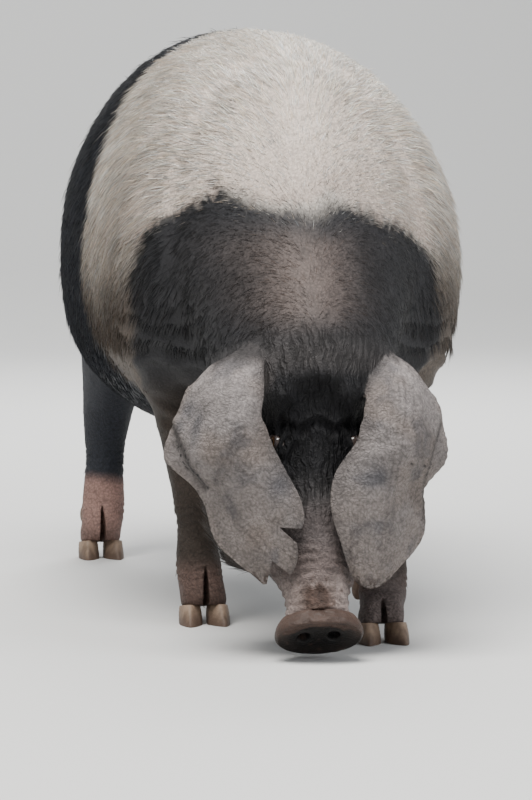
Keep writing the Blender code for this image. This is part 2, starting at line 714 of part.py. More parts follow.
def lock(name, root, normal, along, size, lift, tip):
    """A flat tapered blade from inside the skin, leaving it at a slant and bending over to lie along it."""
    length, half_width, half_thickness = size
    along = (along - normal * along.dot(normal)).normalized()
    side = normal.cross(along)
    rings = []
    for share, width in ((0.0, 0.8), (0.35, 1.0), (0.72, 0.70), (1.0, 0.06)):
        rise = -0.006 + length * lift * share * (1 - 0.62 * share) + tip * share**2
        middle = root + along * (length * share - 0.006) + normal * rise
        corners = ((half_width, 0), (0, half_thickness), (-half_width, 0), (0, -half_thickness))
        rings.append([middle + side * (a * width) + normal * (b * width) for a, b in corners])
    return swept(name, [[tuple(point) for point in ring] for ring in rings])


def fused(obj, pieces, title):
    """Joins closed pieces to a node by one Boolean union on a collection."""
    collection = bpy.data.collections.new(title)
    bpy.context.scene.collection.children.link(collection)
    for piece in pieces:
        bpy.context.scene.collection.objects.unlink(piece)
        collection.objects.link(piece)
    step = obj.modifiers.new("fuse", "BOOLEAN")
    step.operation, step.solver = "UNION", "MANIFOLD"
    step.operand_type, step.collection = "COLLECTION", collection
    applied(obj)
    for piece in pieces:
        bpy.data.objects.remove(piece)
    bpy.data.collections.remove(collection)
    bm = bmesh.new()
    bm.from_mesh(obj.data)
    largest_piece(bm)
    bm.to_mesh(obj.data)
    bm.free()


def trunk_locks(tree):
    """Locks in rows round the trunk, half a step apart from row to row, lying towards the tail and down."""
    made = []
    first, last = LOCK_SPAN
    for row, (degrees, count) in enumerate(LOCK_ROWS):
        angle = math.radians(degrees)
        out = Vector((math.sin(angle), 0, math.cos(angle)))
        for k in range(count):
            y = first + (last - first) * (k + 0.5 * (row % 2) + 0.25) / count
            hit, normal, _, _ = tree.ray_cast(Vector((0, y, 0.52)) + out * 0.6, -out)
            along = Vector((0.25 * math.sin(angle), 1, -0.55 * abs(math.sin(angle))))
            made.append(lock(f"lock_{row}_{k}", hit, normal, along, LOCK, LOCK_LIFT, LOCK_TIP))
    return made


def neck_locks(tree):
    """Locks along the crest of the neck."""
    made = []
    for k in range(NECK_LOCKS):
        share = (k + 0.5) / NECK_LOCKS
        y, z = -0.500 + 0.150 * share, 0.440 + 0.130 * share
        side = 0.030 * (-1) ** k - 0.010
        out = Vector((side * 4, -0.62, 0.78)).normalized()
        start = Vector((side, y, z))
        hit, normal, _, _ = tree.ray_cast(start + out * 0.4, -out)
        made.append(lock(f"crest_{k}", hit, normal, Vector((side * 2, 1, 0.9)), LOCK, LOCK_LIFT, LOCK_TIP))
    return made


def tail_locks():
    """The switch: locks round the end of the tail, hanging down past its tip."""
    made = []
    for k in range(TAIL_LOCKS):
        angle = k * 2.4
        out = Vector((math.cos(angle), math.sin(angle), 0.0))
        x, y, z, radius = TAIL[-1] if k % 2 else TAIL[-2]
        root = Vector((x, y, z)) + out * radius * 0.7
        size = (0.060, 0.0055, 0.0024)
        made.append(lock(f"switch_{k}", root, out, Vector((0, 0.25, -1)), size, 0.10, 0.0))
    return made


def teats(tree):
    """Two rows of short teats down the belly."""
    pairs, first, last, apart, radius, length = TEATS
    made = []
    for k in range(pairs):
        for side in (1, -1):
            x, y = side * apart, first + (last - first) * k / (pairs - 1)
            hit, _, _, _ = tree.ray_cast(Vector((x, y, 0.05)), Vector((0, 0, 1)))
            rings = []
            for share, size in ((-0.5, 1.5), (0.0, 1.25), (0.6, 0.95), (1.0, 0.6)):
                angle = np.arange(6) * np.pi / 3
                wide, height = radius * size, np.full(6, hit.z - length * share)
                rings.append(np.stack([x + wide * np.cos(angle), y + wide * np.sin(angle), height], 1))
            made.append(swept(f"teat_{k}_{side}", rings))
    return made


def standing(objects):
    """Moves everything so the middle of the bounding box stands over the origin."""
    points = np.vstack([np.array([v.co for v in obj.data.vertices]) for obj in objects])
    low, high = points.min(0), points.max(0)
    shift = Matrix.Translation((-(low[0] + high[0]) / 2, -(low[1] + high[1]) / 2, -low[2]))
    for obj in objects:
        obj.data.transform(shift)


def main():
    for obj in list(bpy.data.objects):
        bpy.data.objects.remove(obj)
    flesh = fused_flesh()
    thin = flesh.modifiers.new("thin", "DECIMATE")
    thin.ratio = FLESH_TRIANGLES / (2 * len(flesh.data.polygons))
    applied(flesh)
    body = duplicate(flesh, "body")
    legs = []
    for name, (_, _, foot, _) in LEGS.items():
        leg = cut(duplicate(flesh, name), sleeve(name, SLEEVE), "INTERSECT")
        cut(body, sleeve(name, SLEEVE + GAP))
        _, _, toe, heel, _ = CLAW
        slope = Vector((0, (toe - heel) / (2 * CLAW[1]), 1)).normalized()
        point = Vector((foot[0], foot[1] - CLAW_FORWARD, (toe + heel) / 2 + GAP))
        trimmed = halved(leg, point, slope, name + "_trimmed")
        bpy.data.objects.remove(leg)
        trimmed.name = name
        (x, y, z), sizes = CLEFT
        legs.append(cut(trimmed, ellipsoid("cleft", (foot[0] + x, foot[1] + y, z), sizes, None, 14)))
    bpy.data.objects.remove(flesh)
    nodes = list(legs)
    parts = {}
    for name, planes in {
        "torso": ((NECK_CUT, -1),),
        "neck": ((NECK_CUT, 1), (HEAD_CUT, -1)),
        "head": ((HEAD_CUT, 1),),
    }.items():
        piece = body
        for (point, normal), way in planes:
            normal = Vector(normal).normalized()
            point, tip = [Vector(p) for p in turned([point, Vector(point) + normal])]
            normal = (tip - point).normalized()
            piece = halved(piece, point + normal * way * GAP / 2, normal * way, name)
        parts[name] = piece
    frame = disc_frame()
    back = frame @ Vector((0, 0, -DISC_PROFILE[0][0] - GAP))
    out = frame.to_3x3() @ Vector((0, 0, 1))
    back, tip = [Vector(p) for p in turned([back, back + out])]
    parts["head"] = halved(parts["head"], back, -(tip - back).normalized(), "head")
    tree = tree_of(body)
    for cutter in mouth_cutters():
        cut(parts["head"], cutter)
    nodes += eyes(parts["head"], tree)
    for name, table in (("ear_right", EAR_RIGHT), ("ear_left", EAR_LEFT)):
        flap = ear(name, table, tree)
        cut(flap, grown(body, GAP))
        if name == "ear_right":
            tear(flap)
        nodes.append(flap)
    fused(parts["torso"], trunk_locks(tree) + teats(tree), "trunk_locks")
    fused(parts["neck"], neck_locks(tree), "neck_locks")
    tail_node = tail()
    fused(tail_node, tail_locks(), "tail_locks")
    cut(tail_node, grown(body, GAP))
    nodes.append(tail_node)
    nodes.append(snout_disc())
    for leg in legs:
        nodes += claws(leg.name, leg)
    nodes += parts.values()
    for obj in list(bpy.data.objects):
        if obj not in nodes:
            bpy.data.objects.remove(obj)
    for obj in nodes:
        if obj.name.count("."):
            obj.name = obj.name.split(".")[0]
    standing(nodes)
    collected("domestic_pig", nodes)


main()
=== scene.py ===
"""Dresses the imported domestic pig: one skin over all the flesh, a coat, snout, eyes, lids and claws.

A saddleback sow roots with her head down. Her shape repeats the swept masses of the solids at a finer
grain, her markings are a formula of place that skin and coat share, and every finish is made from nodes.
"""

import math

import bmesh
import bpy
import numpy as np
from mathutils import Matrix, Vector
from mathutils.bvhtree import BVHTree


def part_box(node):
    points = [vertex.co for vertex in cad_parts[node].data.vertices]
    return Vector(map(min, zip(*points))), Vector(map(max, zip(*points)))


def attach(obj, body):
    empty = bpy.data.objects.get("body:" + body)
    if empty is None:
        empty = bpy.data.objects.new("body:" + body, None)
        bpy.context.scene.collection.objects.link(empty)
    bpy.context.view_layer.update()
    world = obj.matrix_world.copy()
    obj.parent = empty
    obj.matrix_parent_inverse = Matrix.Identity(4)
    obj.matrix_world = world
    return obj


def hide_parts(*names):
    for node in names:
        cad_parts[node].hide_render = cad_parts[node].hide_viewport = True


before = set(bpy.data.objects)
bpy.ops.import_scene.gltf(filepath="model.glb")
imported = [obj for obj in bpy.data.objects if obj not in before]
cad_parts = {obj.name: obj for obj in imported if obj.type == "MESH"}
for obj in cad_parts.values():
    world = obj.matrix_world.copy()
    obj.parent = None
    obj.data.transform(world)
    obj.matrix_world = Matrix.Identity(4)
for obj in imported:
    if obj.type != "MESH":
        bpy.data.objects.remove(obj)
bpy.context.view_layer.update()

bl_info = {
    "name": "Domestic pig",
    "version": (1, 0, 0),
    "blender": (4, 5, 0),
    "location": "View3D > Sidebar > Pig",
    "description": "Skin, coat, snout, eyes and claws of a life-size saddleback sow",
    "category": "Add Mesh",
}

AROUND = 36  # points round a swept mass
SPAN_STEPS = 4  # rings made between two stations of a table
VOXEL = 0.009  # grid that fuses the masses of the flesh
FUSE_PASSES = 9  # smoothing that rounds the joins between masses

# The trunk from brisket to rump: y, back height, belly height, half width, height of the widest line
TRUNK = (
    (-0.435, 0.590, 0.410, 0.070, 0.500),
    (-0.405, 0.665, 0.345, 0.150, 0.490),
    (-0.340, 0.735, 0.302, 0.208, 0.475),
    (-0.240, 0.783, 0.282, 0.242, 0.465),
    (-0.110, 0.806, 0.262, 0.257, 0.455),
    (0.030, 0.814, 0.238, 0.263, 0.450),
    (0.170, 0.816, 0.227, 0.262, 0.450),
    (0.300, 0.810, 0.242, 0.252, 0.455),
    (0.420, 0.790, 0.288, 0.240, 0.465),
    (0.520, 0.752, 0.345, 0.226, 0.480),
    (0.605, 0.700, 0.400, 0.192, 0.500),
    (0.662, 0.636, 0.450, 0.135, 0.525),
    (0.690, 0.580, 0.505, 0.055, 0.545),
)
TRUNK_SQUARENESS = (2.1, 2.25)  # above and below the widest line; 2 is an ellipse

# The neck, from inside the trunk to inside the head: y, z, half width, half depth
NECK = (
    (-0.180, 0.552, 0.225, 0.240),
    (-0.290, 0.527, 0.200, 0.232),
    (-0.400, 0.465, 0.160, 0.192),
    (-0.470, 0.408, 0.134, 0.166),
    (-0.530, 0.350, 0.116, 0.145),
    (-0.566, 0.300, 0.104, 0.120),
)
NECK_SQUARENESS = (1.75, 2.1)

# The head hangs from the poll. Its axis runs up from behind the snout disc, and its up is the bridge's side
HEAD_TIP = Vector((0.0, -0.656, 0.049))
HEAD_PITCH = math.radians(72)  # how far the axis drops below level
HEAD_TURN = math.radians(3)  # towards her right
TURN_START, TURN_END = -0.15, -0.45  # where along y the turn begins and is whole
# distance up the axis, bridge, jaw, half width, level of the widest line, all from the axis
HEAD = (
    (-0.045, 0.040, -0.036, 0.0575, 0.000),
    (-0.026, 0.039, -0.037, 0.0545, 0.000),
    (-0.006, 0.037, -0.038, 0.0495, 0.000),
    (0.016, 0.036, -0.042, 0.0445, -0.002),
    (0.038, 0.037, -0.050, 0.0440, -0.014),
    (0.062, 0.039, -0.061, 0.056, -0.030),
    (0.092, 0.043, -0.076, 0.076, -0.050),
    (0.125, 0.047, -0.092, 0.097, -0.064),
    (0.165, 0.053, -0.106, 0.116, -0.070),
    (0.205, 0.056, -0.117, 0.126, -0.068),
    (0.240, 0.062, -0.125, 0.130, -0.058),
    (0.275, 0.070, -0.130, 0.130, -0.046),
    (0.315, 0.086, -0.132, 0.124, -0.034),
    (0.365, 0.118, -0.122, 0.114, -0.010),
    (0.410, 0.100, -0.095, 0.090, 0.000),
    (0.430, 0.070, -0.060, 0.057, 0.000),
)
HEAD_SQUARENESS = (1.62, 2.2)

# Limbs: height as a share of the shoulder or hip point, half width, half depth, forward bend of the line
FORELEG = (
    (1.12, 0.070, 0.100, -0.010),
    (0.95, 0.066, 0.090, -0.030),
    (0.76, 0.055, 0.070, -0.034),
    (0.58, 0.043, 0.051, -0.014),
    (0.43, 0.037, 0.041, 0.012),
    (0.30, 0.031, 0.033, 0.004),
    (0.21, 0.035, 0.036, -0.008),
    (0.135, 0.036, 0.037, -0.002),
    (0.100, 0.032, 0.037, 0.004),
    (0.065, 0.025, 0.032, 0.008),
)
HIND_LEG = (
    (1.10, 0.075, 0.150, 0.000),
    (0.93, 0.082, 0.150, 0.016),
    (0.76, 0.074, 0.120, 0.024),
    (0.60, 0.057, 0.078, -0.010),
    (0.48, 0.046, 0.056, -0.052),
    (0.40, 0.040, 0.048, -0.066),
    (0.28, 0.033, 0.036, -0.050),
    (0.18, 0.037, 0.037, -0.028),
    (0.115, 0.036, 0.038, -0.008),
    (0.085, 0.032, 0.037, 0.001),
    (0.055, 0.025, 0.032, 0.006),
)
# name: (limb, top point, middle of the foot on the floor, height of the cut that parts it from the body)
LEGS = {
    "leg_front_right": (FORELEG, (-0.148, -0.235, 0.440), (-0.120, -0.262, 0.0), 0.345),
    "leg_front_left": (FORELEG, (0.150, -0.250, 0.440), (0.088, -0.485, 0.0), 0.345),
    "leg_hind_right": (HIND_LEG, (-0.130, 0.455, 0.520), (-0.166, 0.540, 0.0), 0.360),
    "leg_hind_left": (HIND_LEG, (0.132, 0.450, 0.520), (0.150, 0.450, 0.0), 0.360),
}
# Each toe over its claw: its place from the foot, and its half sizes
TOE = ((0.0185, 0.003, 0.034), (0.0165, 0.034, 0.028))
# The cleft between the toes: its place from the foot, and its half sizes
CLEFT = ((0.0, -0.036, 0.024), (0.0050, 0.040, 0.062))

# Rounded masses fused into the flesh: middle and the three half sizes, on her left, then mirrored
SHOULDER = ((0.160, -0.215, 0.480), (0.085, 0.140, 0.190))
HAM = ((0.112, 0.480, 0.480), (0.112, 0.170, 0.180))
# In the head's own frame: across, up the axis, towards the bridge
JOWL = ((0.080, 0.187, -0.075), (0.058, 0.110, 0.057))
BROW = ((0.046, 0.284, 0.064), (0.024, 0.020, 0.024))
CHEEK = ((0.062, 0.180, 0.000), (0.040, 0.070, 0.040))

# The snout disc: middle of its face, how far it looks below level, its roll, half width and half height
DISC = Vector((-0.0005, -0.668, 0.0320))
DISC_PITCH = math.radians(50)
DISC_ROLL = math.radians(4)
DISC_HALF = (0.0575, 0.040)
# depth behind the face and share of the full outline, from the back to the middle of the face
DISC_PROFILE = (
    (0.020, 0.90),
    (0.015, 0.95),
    (0.010, 0.985),
    (0.004, 1.00),
    (0.000, 0.95),
    (0.002, 0.84),
    (0.003, 0.50),
)
NOSTRIL = ((0.0195, -0.002, 0.0), (0.0088, 0.0112, 0.014))

# The eyes: radius, the direction out of the head's line that finds their place, and the lids round them
EYE_RADIUS = 0.0125
EYE_AT = (0.0, 0.228, -0.005)
EYE_TOWARDS = (0.75, 0.04, 0.64)
EYE_DEPTH = 0.0065
LIDS = (0.024, 0.0175, 0.0135)
LID_SLIT = (0.0155, 0.0066, 0.020)

# The line of the mouth: distance up the axis and level from it
MOUTH = ((-0.045, -0.020), (0.010, -0.024), (0.060, -0.034), (0.105, -0.048), (0.135, -0.046))

# The ears, down from the root: inner edge x z, outer edge x z, forward set, cup, fall-back of the outer edge
EAR_RIGHT = (
    (-0.082, 0.396, -0.104, 0.392, 0.560, 0.000, 0.010),
    (-0.090, 0.390, -0.140, 0.383, 0.618, 0.014, 0.030),
    (-0.095, 0.369, -0.166, 0.376, 0.640, 0.018, 0.045),
    (-0.096, 0.345, -0.191, 0.347, 0.655, 0.020, 0.060),
    (-0.101, 0.322, -0.206, 0.311, 0.662, 0.024, 0.070),
    (-0.094, 0.294, -0.219, 0.276, 0.660, 0.028, 0.085),
    (-0.082, 0.268, -0.216, 0.253, 0.657, 0.030, 0.080),
    (-0.065, 0.238, -0.184, 0.225, 0.655, 0.030, 0.060),
    (-0.051, 0.209, -0.168, 0.200, 0.653, 0.028, 0.055),
    (-0.047, 0.183, -0.162, 0.173, 0.651, 0.026, 0.050),
    (-0.056, 0.159, -0.153, 0.150, 0.650, 0.022, 0.043),
    (-0.055, 0.137, -0.136, 0.133, 0.650, 0.018, 0.030),
    (-0.063, 0.114, -0.111, 0.112, 0.649, 0.008, 0.012),
    (-0.085, 0.102, -0.097, 0.100, 0.648, 0.000, 0.003),
)
EAR_LEFT = (
    (0.052, 0.384, 0.076, 0.380, 0.520, 0.000, 0.010),
    (0.056, 0.380, 0.104, 0.371, 0.585, 0.014, 0.030),
    (0.046, 0.366, 0.120, 0.358, 0.606, 0.018, 0.045),
    (0.036, 0.347, 0.136, 0.337, 0.638, 0.020, 0.060),
    (0.029, 0.320, 0.147, 0.303, 0.652, 0.024, 0.070),
    (0.024, 0.289, 0.155, 0.268, 0.655, 0.028, 0.085),
    (0.008, 0.266, 0.150, 0.246, 0.655, 0.030, 0.080),
    (-0.007, 0.243, 0.124, 0.220, 0.654, 0.030, 0.060),
    (-0.013, 0.216, 0.122, 0.199, 0.653, 0.028, 0.055),
    (-0.011, 0.189, 0.121, 0.168, 0.651, 0.026, 0.050),
    (-0.001, 0.158, 0.112, 0.144, 0.650, 0.022, 0.043),
    (0.007, 0.133, 0.086, 0.119, 0.650, 0.018, 0.030),
    (0.020, 0.105, 0.065, 0.099, 0.649, 0.008, 0.012),
    (0.036, 0.094, 0.047, 0.092, 0.648, 0.000, 0.003),
)
EAR_COLUMNS = 10
EAR_FULLNESS = 0.65  # below 1 the ears' edges turn back more sharply
EAR_THICKNESS = (0.036, 0.0055)  # at the root and at the tip
EAR_SMOOTHING = 6
EAR_CLEARANCE = 0.014  # between an ear and the face it hangs over
EAR_FREE = 0.36  # below this height the ears hang clear of the face
# The torn edge of the right ear: notches as mouth, point and other side of the mouth, x z
TEARS = (
    ((-0.030, 0.171), (-0.080, 0.176), (-0.038, 0.138)),
    ((-0.059, 0.110), (-0.0885, 0.1315), (-0.096, 0.084)),
)

# The claws: half width, half length, height at the toe and at the heel, and how far from the foot's middle
CLAW = (0.0158, 0.036, 0.033, 0.020, 0.0190)
CLAW_TOE_OUT = 0.005
# Rings up a claw: share of the height, width, length, shift towards the heel
CLAW_RINGS = (
    (0.0, 1.0, 1.0, 0.0),
    (0.35, 1.0, 0.90, 0.0035),
    (0.75, 0.95, 0.76, 0.0085),
    (1.0, 0.90, 0.68, 0.0115),
)
CLAW_FORWARD = 0.010
DEWCLAW = (0.0092, 0.0125, 0.0185)
DEWCLAW_AT = (0.019, 0.034, 0.064)

# The tail: points of its line from inside the rump, radius at each
TAIL = (
    (0.000, 0.610, 0.618, 0.024),
    (0.000, 0.655, 0.618, 0.022),
    (0.002, 0.690, 0.603, 0.018),
    (0.006, 0.706, 0.565, 0.0145),
    (0.010, 0.706, 0.520, 0.012),
    (0.008, 0.699, 0.475, 0.010),
    (0.000, 0.696, 0.435, 0.0085),
    (-0.006, 0.704, 0.400, 0.007),
    (-0.004, 0.716, 0.372, 0.0055),
)

# The teats: pairs, first and last y, distance from the middle line, radius, length
TEATS = (6, -0.130, 0.330, 0.062, 0.0065, 0.019)

DISC_BACK = 0.0203  # how far the muzzle's end lies behind the face of the disc

EAR_STEPS = 6  # how much finer the ears are here than in the solids
SKIN_VOXEL = 0.0031  # grid that fuses the skin
SKIN_TRIANGLES = 144000
SKIN_INSET = 0.0025  # how far the skin lies inside the solids
FACE_ALONG = (0.385, 0.335)  # along the head's axis, where the face begins at the poll
FACE_AHEAD = (-0.44, -0.50)  # along y, where it begins ahead of the throat

# Points round a ring: limb, tail, eyeball, tube of the lid rim, snout disc, claw
LEG_AROUND, TAIL_AROUND, BALL_AROUND, RIM_AROUND, DISC_AROUND, CLAW_AROUND = 28, 24, 48, 10, 144, 56
RIM_STEPS = 96  # points along a lid rim

# How far each kind of relief stands out of the skin, and how far apart its ripples lie
SNOUT_RINGS = (0.0016, 0.0125)
BROW_FOLDS = (0.0026, 0.0135)
BRIDGE_LINES = (0.0010, 0.0095)
JAW_FOLDS = (0.0016, 0.030)
NECK_FOLDS = (0.0022, 0.055)
ELBOW_FOLDS = (0.0026, 0.032)
KNEE_FOLDS = (0.0010, 0.010)
# The same where there are no ripples
BROW_PAD = 0.0070
W_FOLD = 0.0050
HOLLOW_DEPTH = 0.006
MOUTH_LINE = 0.0050
LIPS = 0.0022
BODY_UNEVEN = 0.0016
LEG_UNEVEN = 0.0010

# How far the whole ear bends at its folded lobe and crease, and how far its front's relief stands out
EAR_BEND = {"lobe": -0.0065, "lobe_edge": 0.0045, "by_crease": 0.0022, "crease": -0.0035,
            "broad": 0.0030, "fine": 0.0014}
EAR_FRONT = {"folds": 0.0011, "waves": 0.00075, "cross_waves": 0.00055, "vein": 0.0011,
             "by_vein": -0.0006, "rim": 0.0007}
EAR_WAVE, EAR_CROSS_WAVE = 0.0105, 0.0082  # how far apart the two kinds of waves lie
EAR_LENGTH = 0.31  # from root to tip, for the waves
EAR_ROOT = {"thick": 0.86, "last": 0.34, "steps": 3}  # the part of each ear that is fused with the head
# How far round each of an ear's top rows the join with the head is smoothed
ROOT_REACH = (0.038, 0.038, 0.036, 0.034, 0.032, 0.028, 0.024, 0.020, 0.016)
ROOT_WIDTHS = (0.030, 0.040, 0.045)  # how far each ear's tone reaches over the poll
EAR_CELL = 0.0015  # size of a cell in the map of the ears
EAR_MAP_LOW, EAR_MAP_CELLS = (-0.26, 0.04), (320, 280)  # its corner, x z, and how many cells it has

# What shows on each ear, x z: the crease that folds the outer lobe back, veins, soft hollows or swellings
# (place, width, height)
MARKS_RIGHT = (
    ((-0.212, 0.312), (-0.2015, 0.2813), (-0.1906, 0.2507), (-0.1687, 0.2242)),
    (
        ((-0.1566, 0.2339), (-0.1475, 0.2128), (-0.1322, 0.1864), (-0.1124, 0.1664), (-0.0960, 0.1450)),
        ((-0.1300, 0.3000), (-0.1452, 0.2693), (-0.1566, 0.2339)),
        ((-0.1452, 0.2693), (-0.1180, 0.2480)),
    ),
    ((-0.1452, 0.2693, 0.010, 0.0035), (-0.1926, 0.3247, 0.014, -0.0030), (-0.080, 0.230, 0.020, -0.0020)),
)
MARKS_LEFT = (
    ((0.143, 0.300), (0.1321, 0.2766), (0.1210, 0.2333), (0.1190, 0.1805)),
    (
        ((0.0850, 0.3600), (0.0791, 0.3100), (0.0727, 0.2661), (0.0636, 0.1743), (0.0560, 0.1450)),
        ((0.0189, 0.1663), (0.0176, 0.1356)),
        ((0.1000, 0.3200), (0.1080, 0.2600), (0.1010, 0.2000)),
    ),
    ((0.0506, 0.2424, 0.018, -0.0025), (0.0352, 0.2054, 0.016, 0.0020), (0.0980, 0.2900, 0.012, 0.0020)),
)

# Edges of the markings. The black rump starts behind: height, y
RUMP_EDGE = (
    (0.37, -0.085), (0.434, -0.058), (0.50, -0.032), (0.575, -0.037),
    (0.63, -0.017), (0.694, 0.019), (0.746, 0.083), (0.82, 0.125),
)
# The dark front patch lies ahead of, on her right and on her left: height, y
PATCH_RIGHT = (
    (0.315, -0.237), (0.350, -0.263), (0.409, -0.288), (0.477, -0.303),
    (0.547, -0.318), (0.571, -0.372), (0.598, -0.440),
)
PATCH_LEFT = (
    (0.405, -0.323), (0.451, -0.356), (0.496, -0.369), (0.533, -0.398),
    (0.552, -0.446), (0.585, -0.520),
)
# and below: x, height
PATCH_TOP = (
    (-0.203, 0.553), (-0.169, 0.578), (-0.131, 0.606), (-0.114, 0.599), (-0.092, 0.591), (-0.058, 0.588),
    (-0.020, 0.586), (0.009, 0.597), (0.024, 0.603), (0.044, 0.590), (0.068, 0.575), (0.107, 0.563),
    (0.140, 0.552),
)

# The middle between the two ears' roots, across
EARS_MIDDLE = -0.0145

# Where each tone begins and where it is full: heights z, or places along the head's axis
BANDS = {
    # the lower flanks, where dirt and painted shade begin and where they are full
    "flank_dirt_and_shade": (0.67, 0.43),
    "brown_above": (0.575, 0.520),
    "brown_below": (0.40, 0.47),
    "streak": (0.530, 0.560),
    "foreleg": (0.36, 0.29),
    "hind_foot": (0.135, 0.110),
    "fore_foot": (0.10, 0.06),
    "foot_mud": (0.075, 0.025),
    "bridge": (0.165, 0.120),
    "muzzle_middle": (0.110, 0.070),
    "muzzle": (0.062, 0.035),
    "crumbs": (0.090, 0.060),
    "heap": (0.052, 0.034),
    "hollow_above": (0.328, 0.302),
    "hollow_below": (0.145, 0.200),
    "poll": (0.340, 0.385),
    "crown": (0.376, 0.398),
}

# Tones, linear red, green, blue
CREAM = (0.78, 0.715, 0.635)
# The lower flanks: dirt together with painted shade, darker towards the belly
FLANK_DIRT_SHADE = (0.050, 0.036, 0.027)
DARK = (0.019, 0.019, 0.021)
RUMP = (0.019, 0.021, 0.027)
NECK_BROWN = (0.098, 0.077, 0.069)
FACE = (0.037, 0.034, 0.034)
# Painted shade, near black: the face's black hollow, the skin beside the eyes and the nostril wells
HOLLOW_SHADE = (0.004, 0.004, 0.005)
BRIDGE = (0.075, 0.062, 0.060)
MUZZLE_MID = (0.110, 0.086, 0.080)
MUZZLE = (0.270, 0.218, 0.200)
JOWL_TONE = (0.040, 0.033, 0.029)
EAR = (0.205, 0.184, 0.178)
EAR_TAN = (0.160, 0.128, 0.110)
# Painted shade on the ears: inner edge, crease, beside the veins, back face
EAR_SHADE = (0.055, 0.046, 0.043)
EAR_BLUE = (0.066, 0.065, 0.072)
# A painted highlight along the ears' outer edge
EAR_HIGHLIGHT = (0.240, 0.205, 0.185)
# The forelegs: mud together with painted shade
FORELEG_MUD_SHADE = (0.030, 0.022, 0.017)
PINK = (0.26, 0.16, 0.135)
MUD = (0.060, 0.038, 0.030)
IRIS = (0.060, 0.030, 0.014)
PUPIL = (0.004, 0.004, 0.005)
EYE_WHITE = (0.060, 0.045, 0.040)
LID = (0.035, 0.026, 0.025)
SNOUT = (0.042, 0.031, 0.026)
# The disc's face: painted shade together with dirt
SNOUT_SHADE_DIRT = (0.004, 0.004, 0.004)
HORN = (0.250, 0.180, 0.130)
HORN_DARK = (0.170, 0.115, 0.085)
# Pink skin under the pale hair, darkened with painted shade between the hairs
SKIN_PINK_SHADED = (0.25, 0.18, 0.15)
FLOOR_TONE = (0.62, 0.62, 0.61, 1)
SKY_TONE = (0.86, 0.89, 0.93, 1)

STRANDS_PER_PIECE = 18500
STRAND_SHADE_TONES = (0.38, 0.90, 1.15)  # a hair's tone from its root over its middle to its tip; the dark root is painted shade between the hairs
WAY_SPREAD, TONE_SPREAD, WARM_SPREAD = 0.14, 0.24, 0.06  # how far single hairs stray in lie and tone
WILD_SHARE, WILD_LIFT = 0.015, 0.35  # a few hairs that stand off
CLUMPING = 0.34  # how much whole clumps differ in tone
LEG_HAIR = (0.007, 0.00045)  # the longest and the thickest on the legs
EAR_HAIR = (0.0035, 0.00028)  # length and half thickness on the ears
JOWL_HAIR = 0.028  # how much longer it is under the jowl
BARE, SPARSE = 0.06, 0.08  # how thickly hair stands on the ears and round the snout, against 1 on the body
SKIN_NODES = (
    "torso", "neck", "head", "ear_left", "ear_right", "tail",
    "leg_front_left", "leg_front_right", "leg_hind_left", "leg_hind_right",
)

# The fine relief: how the place is squeezed and the noise's scale, for lines along the head and across it
LEATHER_LINES = (((1.0, 0.16, 0.16), 230), ((0.40, 0.40, 1.0), 430))
USUAL_HEIGHT = (1.0, 0.9, 0.9)  # the usual height of each kind at full strength
CAVITY_SHADE_RANGE = ((0.60, 1.35), (0.66, 1.24))  # shares of the usual height, and the brightness of painted shade and light there

# The photo's camera: where it aims across her, how far round and down it looks, and its lens in millimetres
CAMERA_PIVOT = (0.0, -0.065, 0.80)
CAMERA_BACK = 6.3
CAMERA_AZIMUTH = 9
CAMERA_DOWN = 4.63
CAMERA_LENS = 199.98
# The floor: half its width, where it starts to curve up, the curve's radius and the backdrop's height
FLOOR_HALF, FLOOR_END, FLOOR_CURVE, BACKDROP = 30.0, 5.0, 3.0, 20.0
# name, place, aim, size, power in watts, colour
LIGHTS = (
    ("key", (-0.9, -1.7, 4.2), (0.0, 0.0, 0.45), 3.2, 430, (1.0, 0.98, 0.95)),
    ("fill", (3.0, -3.0, 2.2), (0.0, 0.0, 0.45), 3.0, 85, (0.95, 0.97, 1.0)),
    ("wash", (0.0, 2.6, 4.6), (0.0, 8.0, 2.2), 3.5, 260, (1.0, 1.0, 1.0)),
    ("back", (0.8, 3.4, 3.2), (0.0, 0.0, 0.45), 2.6, 185, (1.0, 1.0, 1.0)),
)


def smooth_rows(rows, steps=SPAN_STEPS):
    """Carries a table's rows along a Catmull-Rom curve through all of them, in equal steps between rows."""
    rows = np.asarray(rows, float)
    padded = np.vstack([2 * rows[0] - rows[1], rows, 2 * rows[-1] - rows[-2]])
    t = np.linspace(0, 1, steps, endpoint=False)[:, None]
    spans = []
    for a, b, c, d in zip(padded, padded[1:], padded[2:], padded[3:]):
        cubic = 2 * b + (c - a) * t + (2 * a - 5 * b + 4 * c - d) * t**2 + (3 * b - a - 3 * c + d) * t**3
        spans.append(0.5 * cubic)
    return np.vstack([*spans, rows[-1:]])


def outline(half_width, above, below, squareness, count=AROUND):
    """A closed ring: a superellipse whose upper and lower halves have their own height and squareness."""
    angle = np.arange(count) * 2 * np.pi / count
    c, s = np.cos(angle), np.sin(angle)
    power = np.where(s >= 0, 2 / squareness[0], 2 / squareness[1])
    across = half_width * np.sign(c) * np.abs(c) ** power
    up = np.where(s >= 0, above, below) * np.sign(s) * np.abs(s) ** power
    return across, up


def chosen(name):
    """A colour or size picked in the panel."""
    value = getattr(bpy.context.scene.domestic_pig_look, name)
    return np.array(value) if hasattr(value, "__len__") else value


def eased(x, low, high):
    """0 below low, 1 above high, and a smooth S between them; low may be the larger."""
    t = np.clip((x - low) / (high - low), 0, 1)
    return t * t * (3 - 2 * t)


def lattice(ix, iy, iz, seed):
    """A repeatable number from 0 to 1 for each whole-number point, by mixing its bits."""
    mixed = (ix * 73856093) ^ (iy * 19349663) ^ (iz * 83492791) ^ (seed * 2654435761)
    mixed = (mixed ^ (mixed >> 13)) * 1274126177
    mixed = mixed ^ (mixed >> 16)
    return (mixed & 0xFFFFFF) / 0xFFFFFF


